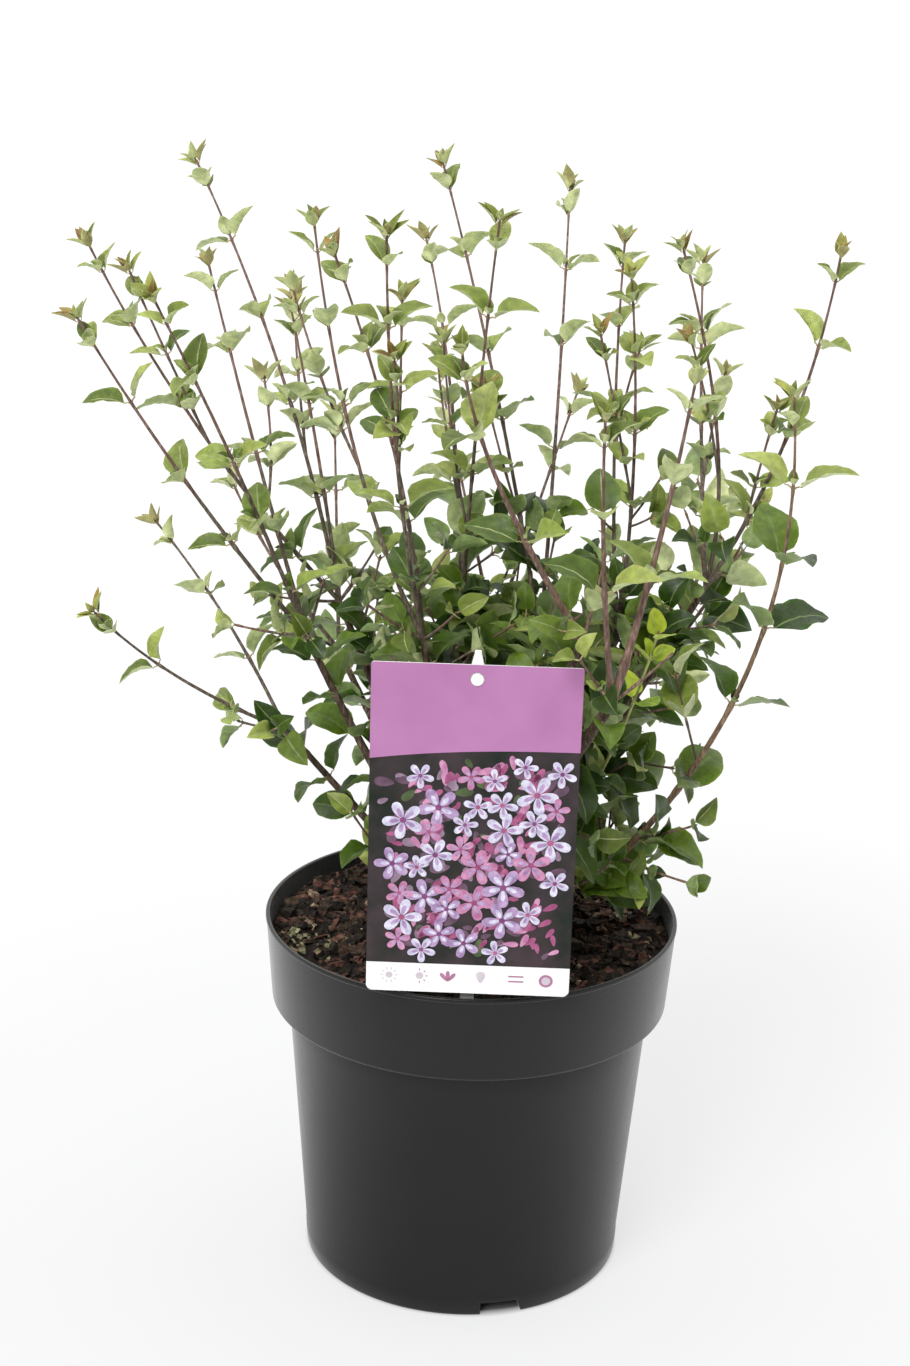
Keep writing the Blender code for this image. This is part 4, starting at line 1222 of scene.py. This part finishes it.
def make_chips(reach):
    """Bark chips, crumbs and bits of moss strewn on the soil: rough blocks that lie nearly flat."""
    draw = random.Random(SEED)
    faces = [(0, 1, 3, 2), (4, 6, 7, 5), (0, 4, 5, 1), (2, 3, 7, 6), (0, 2, 6, 4), (1, 5, 7, 3)]
    chips = Shells()
    for _ in range(SOIL_CHIPS):
        radius = (reach - 1.5) * math.sqrt(draw.random())
        angle = draw.uniform(0, math.tau)
        x, y = radius * math.cos(angle), radius * math.sin(angle)
        if radius < CROWN_CLEAR:
            continue
        patch = MOSS_REACH[0] + MOSS_REACH[1] * noise.noise(Vector((x * MOSS_GRAIN, y * MOSS_GRAIN, 3)))
        mossy = math.hypot(x - MOSS_PLACE[0], y - MOSS_PLACE[1]) < patch
        tone = draw.choices(range(len(CRUMBS)), CHIP_TONES + (MOSS_CHANCES[mossy],))[0]
        size = chip_size(tone, draw)
        turn = Matrix.Rotation(draw.uniform(0, math.tau), 3, "Z")
        for axis, tilt in CHIP_TILTS:
            turn = turn @ Matrix.Rotation(draw.gauss(0, tilt), 3, axis)
        place = Vector((x, y, soil_height(x, y) + size[2] * CHIP_RISE))
        corners = [place + turn @ Vector([side * sign * draw.uniform(*spread)
                                          for side, sign, spread in zip(size, signs, CHIP_SPREADS)])
                   for signs in product((-1, 1), repeat=3)]
        if max(corner.xy.length for corner in corners) <= reach:
            chips.add(corners, faces, tone)
    chips.piece("soil_chips", [crumb_finish(name, *tones) for name, tones in CRUMBS.items()], "soil", (), 30)


def make_soil():
    """The soil's bed and what is strewn on it, as wide as the pot is inside at that height."""
    share = (SOIL_TOP - COLLAR_FOOT) / (RIM_TOP - COLLAR_FOOT)
    reach = COLLAR_FOOT_RADIUS + share * SOIL_SPREAD - WALL - GAP
    make_bed(reach)
    make_chips(reach)


# Label
def card_matrix():
    """Places the card, modelled upright on its bottom edge, in front of the rim."""
    place = Matrix.Translation((CARD_MIDDLE, CARD_FRONT, CARD_BOTTOM))
    turn = Matrix.Rotation(math.radians(CARD_TURN), 4, "Z")
    return place @ turn @ Matrix.Rotation(math.radians(CARD_LEAN), 4, "X")


def card_outline():
    """The card's (x, z) outline with rounded corners, anticlockwise."""
    low, high = CARD_CORNERS
    half = CARD_WIDTH / 2
    corners = [(half - low, low, low, 270), (half - high, CARD_HEIGHT - high, high, 0),
               (high - half, CARD_HEIGHT - high, high, 90), (low - half, low, low, 180)]
    outline = []
    for x, z, radius, first in corners:
        for step in range(CORNER_STEPS + 1):
            angle = math.radians(first + step * 90 / CORNER_STEPS)
            outline.append((x + radius * math.cos(angle), z + radius * math.sin(angle)))
    return outline


def hole_outline():
    return [(x, CARD_HEIGHT - HOLE_DROP + z) for x, z in circle(HOLE_SIDES, HOLE_RADIUS)]


def header_edge(x):
    """The height of the header's curved lower edge across the card."""
    share = (x + CARD_WIDTH / 2) / CARD_WIDTH
    return HEADER_EDGE + HEADER_DROP * (1 - (1 - share) ** HEADER_CURVE)


class Print:
    """Inks laid on the card's front as thin plates, each layer a little prouder than the one below."""

    def __init__(self):
        self.shells = Shells()
        self.place = card_matrix()

    def plate(self, outline, layer, ink):
        """A flat plate with the (x, z) outline, anticlockwise, in a layer."""
        top = -CARD_THICK / 2 - LAYER * layer
        points, faces = prism(outline, top, top + LAYER * LAYER_SHARE)
        self.shells.add([self.place @ Vector(point) for point in points], faces, list(INKS).index(ink))

    def disc(self, x, z, radius, layer, ink, sides=20):
        self.plate([(x + a, z + b) for a, b in circle(sides, radius)], layer, ink)

    def petal(self, x, z, angle, length, width, layer, ink, start=0.0, blunt=0.5):
        """A petal, leaf or bud: an oval from its foot at (x, z), drawn along an angle."""
        outline = []
        for cosine, sine in circle(PETAL_SIDES):
            along = start + length * (0.5 - 0.5 * cosine)
            reach = width / 2 * sine * (1 - blunt * cosine * 0.6)
            outline.append((x + along * math.cos(angle) + reach * math.sin(angle),
                            z + along * math.sin(angle) - reach * math.cos(angle)))
        self.plate(outline, layer, ink)

    def bar(self, x, z, width, height, layer, ink):
        self.plate([(x + a * width / 2, z + b * height / 2) for a, b in ((-1, -1), (1, -1), (1, 1), (-1, 1))],
                   layer, ink)

    def blossom(self, x, z, size, layer, turn, petal, heart, eye):
        """A five-petalled flower with tinted petal hearts and a dark eye."""
        for k in range(5):
            angle = turn + math.tau * k / 5
            self.petal(x, z, angle, size, size * 0.54, layer, petal, size * 0.10)
            self.petal(x, z, angle, size * 0.6, size * 0.22, layer + 1, heart, size * 0.12)
        self.disc(x, z, size * 0.17, layer + 2, eye, 12)

    def rays(self, x, z, angles, reach, length, ink):
        """Short strokes that point away from a middle."""
        for angle in angles:
            self.petal(x + reach * math.cos(angle), z + reach * math.sin(angle), angle, length, 0.5, 2, ink)


def in_picture(x, z, reach):
    """Whether a shape of a reach stays inside the dark picture."""
    side, foot, top = PICTURE_MARGINS
    aside = abs(x) < CARD_WIDTH / 2 - reach - side
    return aside and STRIP_HEIGHT + reach + foot < z < header_edge(x) - reach - top


def draw_background(art):
    """The header round the hanging hole, in a right and a left half, and the dark ground of the picture."""
    half = CARD_WIDTH / 2
    across = [CARD_WIDTH * k / HEADER_STEPS - half for k in range(HEADER_STEPS + 1)]
    edge = [(x, header_edge(x)) for x in across]
    corners = [point for point in card_outline() if point[1] > HEADER_EDGE + 10]
    ring, quarter = hole_outline(), HOLE_SIDES // 4
    around = [ring[k] for k in range(quarter, -3 * quarter - 1, -1)]
    middle = [(0.0, CARD_HEIGHT)]
    right = [point for point in edge if point[0] >= 0] + [point for point in corners if point[0] > 0]
    art.plate(right + middle + around[:2 * quarter + 1], 1, "header")
    left = [point for point in edge if point[0] <= 0] + around[2 * quarter:] + middle
    art.plate(left + [point for point in corners if point[0] < 0], 1, "header")
    art.plate([(-half, STRIP_HEIGHT), (half, STRIP_HEIGHT)] + edge[::-1], 0.5, "ground")


def draw_picture(art, draw):
    """Loose blossoms and bunches of buds over dull far petals."""
    half = CARD_WIDTH / 2
    for _ in range(FAR_PETALS):
        x, z, size = draw.uniform(-half, half), draw.uniform(STRIP_HEIGHT, HEADER_EDGE), draw.uniform(4, 9)
        if in_picture(x, z, size * 1.1):
            ink = draw.choices(("ground_warm", "stem", "leaf"), (60, 25, 15))[0]
            art.petal(x, z, draw.uniform(0, math.tau), size, size * 0.5, 1 + draw.randrange(3), ink)
    for _ in range(BUD_BUNCHES):
        x, z = draw.uniform(-half, half), draw.uniform(STRIP_HEIGHT, HEADER_EDGE)
        heading = draw.uniform(0.2, 1.4)
        for _ in range(BUDS_BY_BUNCH):
            angle = heading + draw.gauss(0, 0.45)
            size = draw.uniform(4.5, 7.5)
            a, b = x + draw.gauss(0, 3), z + draw.gauss(0, 3)
            if in_picture(a, b, size * 1.15):
                layer, ink = 4 + draw.randrange(2), draw.choice(("bud_pink", "bud_deep", "bud_deep"))
                art.petal(a, b, angle, size, size * 0.4, layer, ink)
    placed = []
    for _ in range(BLOSSOM_TRIES):
        share = draw.uniform(0, 1)
        x = BLOSSOM_START[0] + BLOSSOM_RUN[0] * share + draw.gauss(0, BLOSSOM_SPREAD)
        z = BLOSSOM_START[1] + BLOSSOM_RUN[1] * share ** 0.8 + draw.gauss(0, BLOSSOM_SPREAD)
        size = draw.uniform(5.0, 8.6)
        apart = [(math.hypot(x - a, z - b), size + c, layer) for a, b, c, layer in placed]
        if not in_picture(x, z, size * 0.9) or any(gap < sizes * BLOSSOMS_APART for gap, sizes, _ in apart):
            continue
        near = {layer for gap, sizes, layer in apart if gap < sizes * BLOSSOMS_NEAR}
        free = [layer for layer in range(PICTURE_LAYERS) if layer not in near]
        if free and draw.random() < 0.8:
            placed.append((x, z, size, free[0] if draw.random() < 0.5 else draw.choice(free)))
    for order, (x, z, size, layer) in enumerate(placed):
        inks = BLOSSOMS[order * 7 % len(BLOSSOMS)]
        art.blossom(x, z, size, 6 + 4 * layer, draw.uniform(0, math.tau), *inks)


def draw_icons(art):
    """Plain plant-care pictograms in the white strip: sun, half sun, plant, drop, bars and dot."""
    z = ICON_HEIGHT
    sun, half_sun, plant, drop, bars, dot = ICONS
    art.disc(sun, z, 1.5, 2, "icon")
    art.rays(sun, z, [math.tau * k / 10 for k in range(10)], 2.3, 1.5, "icon")
    art.disc(half_sun, z, 1.7, 2, "icon")
    art.rays(half_sun, z, [-math.pi / 2 + math.pi * k / 4 for k in range(5)], 2.3, 1.3, "icon_deep")
    for k in range(3):
        art.petal(plant, z - 2.2, math.radians(50 + 40 * k), 5.0, 1.7, 2, "icon_deep")
    art.petal(drop, z + 3.0, -math.pi / 2, 5.6, 3.6, 2, "icon", blunt=-0.9)
    for rise in (1.2, -1.2):
        art.bar(bars, z + rise, 6.5, 0.7, 2, "icon_deep")
    art.disc(dot, z - 0.4, 3.0, 2, "icon_deep")
    art.disc(dot, z - 0.4, 1.9, 3, "icon")


def make_label():
    """The printed card and its stick: white stock, orchid header, dark picture, strip with pictograms."""
    stock = plastic_finish("card_stock", (0.78, 0.78, 0.79), (0.86, 0.86, 0.87), 0.35, 900, 0.02)
    body = Shells()
    body.add(*prism(card_outline(), -CARD_THICK / 2, CARD_THICK / 2))
    card = body.piece("label_stock", [stock], "label", ["label_card"], 30)
    cut(card, loose_object("hole", *prism(hole_outline(), -2, 2)))
    place = card_matrix()
    place.translation *= MM
    card.data.transform(place)
    card.data.update()
    art = Print()
    draw_background(art)
    draw_picture(art, random.Random(SEED + 7))
    draw_icons(art)
    inks = [ink_finish("ink_" + name, *looks) for name, looks in INKS.items()]
    art.shells.piece("label_print", inks, "label", ["label_card"], 30)
    stick = plastic_finish("stick_plastic", (0.78, 0.78, 0.77), (0.86, 0.86, 0.85), 0.35, 900, 0.03)
    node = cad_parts["label_stick"]
    node.data.materials.clear()
    node.data.materials.append(stick)


# Studio
def make_camera():
    """A camera at the photograph's place and angle."""
    pitch, yaw, roll = (math.radians(angle) for angle in (CAMERA_PITCH, CAMERA_YAW, CAMERA_ROLL))
    forward = Vector((math.sin(yaw) * math.cos(pitch), math.cos(yaw) * math.cos(pitch), -math.sin(pitch)))
    right = Vector((math.cos(yaw), -math.sin(yaw), 0))
    up = right.cross(forward)
    side = right * math.cos(roll) + up * math.sin(roll)
    top = up * math.cos(roll) - right * math.sin(roll)
    data = bpy.data.cameras.new("camera")
    data.sensor_fit = "AUTO"
    data.sensor_width = SENSOR
    data.lens = CAMERA_FOCAL_PIXELS * SENSOR / PHOTO_HEIGHT
    camera = bpy.data.objects.new("camera", data)
    camera.matrix_world = Matrix((side, top, -forward)).transposed().to_4x4()
    camera.location = CAMERA_PLACE
    bpy.context.scene.collection.objects.link(camera)
    bpy.context.scene.camera = camera


def studio_world():
    """White behind the plant. The light it gives is strongest from above, then from behind and the sides."""
    world = bpy.data.worlds.new("studio")
    world.use_nodes = True
    tree = world.node_tree
    place = new_node(tree, "TexCoord", {}).outputs["Generated"]
    axes = new_node(tree, "SeparateXYZ", {0: place}).outputs
    above = map_range(tree, axes["Z"], WORLD_ABOVE, interpolation_type="SMOOTHSTEP")
    behind = map_range(tree, axes["Y"], WORLD_BEHIND, interpolation_type="SMOOTHSTEP")
    total = new_node(tree, "Math", {0: above, 1: behind}).outputs["Value"]
    seen = new_node(tree, "LightPath", {}).outputs["Is Camera Ray"]
    choice = new_node(tree, "Mix", {"Factor": seen, "A": total, "B": WORLD_SEEN}).outputs["Result"]
    feed(tree, tree.nodes["Background"], {"Color": WORLD_COLOUR, "Strength": choice})
    bpy.context.scene.world = world


def make_studio():
    """A pale floor with painted light, which shines beyond the pot's foot to thin the shadows on it and not
    under the foot, which paints shade there; and one broad sun from the front left.
    """
    finish = Finish("studio_floor", 0.6, 0.0)
    finish.colour(finish.noise(2.0, 2), (0.3, 0.7), ((0.180, 0.182, 0.186), (0.188, 0.190, 0.194)))
    reach = new_node(finish.tree, "VectorMath", {0: finish.place}, operation="LENGTH").outputs["Value"]
    # The floor's own light is painted light, with painted shade under the pot's foot
    glows = [map_range(finish.tree, reach, glow) for glow in (PAINTED_FLOOR_LIGHT, PAINTED_FAR_LIGHT)]
    finish.shade({"Emission Color": (1, 1, 1, 1), "Emission Strength": finish.add(*glows, 1.0)})
    corners = [(-FLOOR_REACH, -FLOOR_REACH, 0), (FLOOR_REACH, -FLOOR_REACH, 0),
               (FLOOR_REACH, FLOOR_REACH, 0), (-FLOOR_REACH, FLOOR_REACH, 0)]
    floor = loose_object("floor", corners, [(0, 1, 2, 3)])
    floor.data.materials.append(finish.material)
    data = bpy.data.lights.new("sun", "SUN")
    data.angle = math.radians(SUN_SIZE)
    data.energy = SUN_POWER
    lamp = bpy.data.objects.new("sun", data)
    lamp.rotation_euler = (-Vector(SUN_FROM)).to_track_quat("-Z", "Y").to_euler()
    bpy.context.scene.collection.objects.link(lamp)
    bpy.context.scene.view_settings.view_transform = "Standard"


make_camera()
studio_world()
make_studio()
make_pot()
make_soil()
make_label()
make_plant()
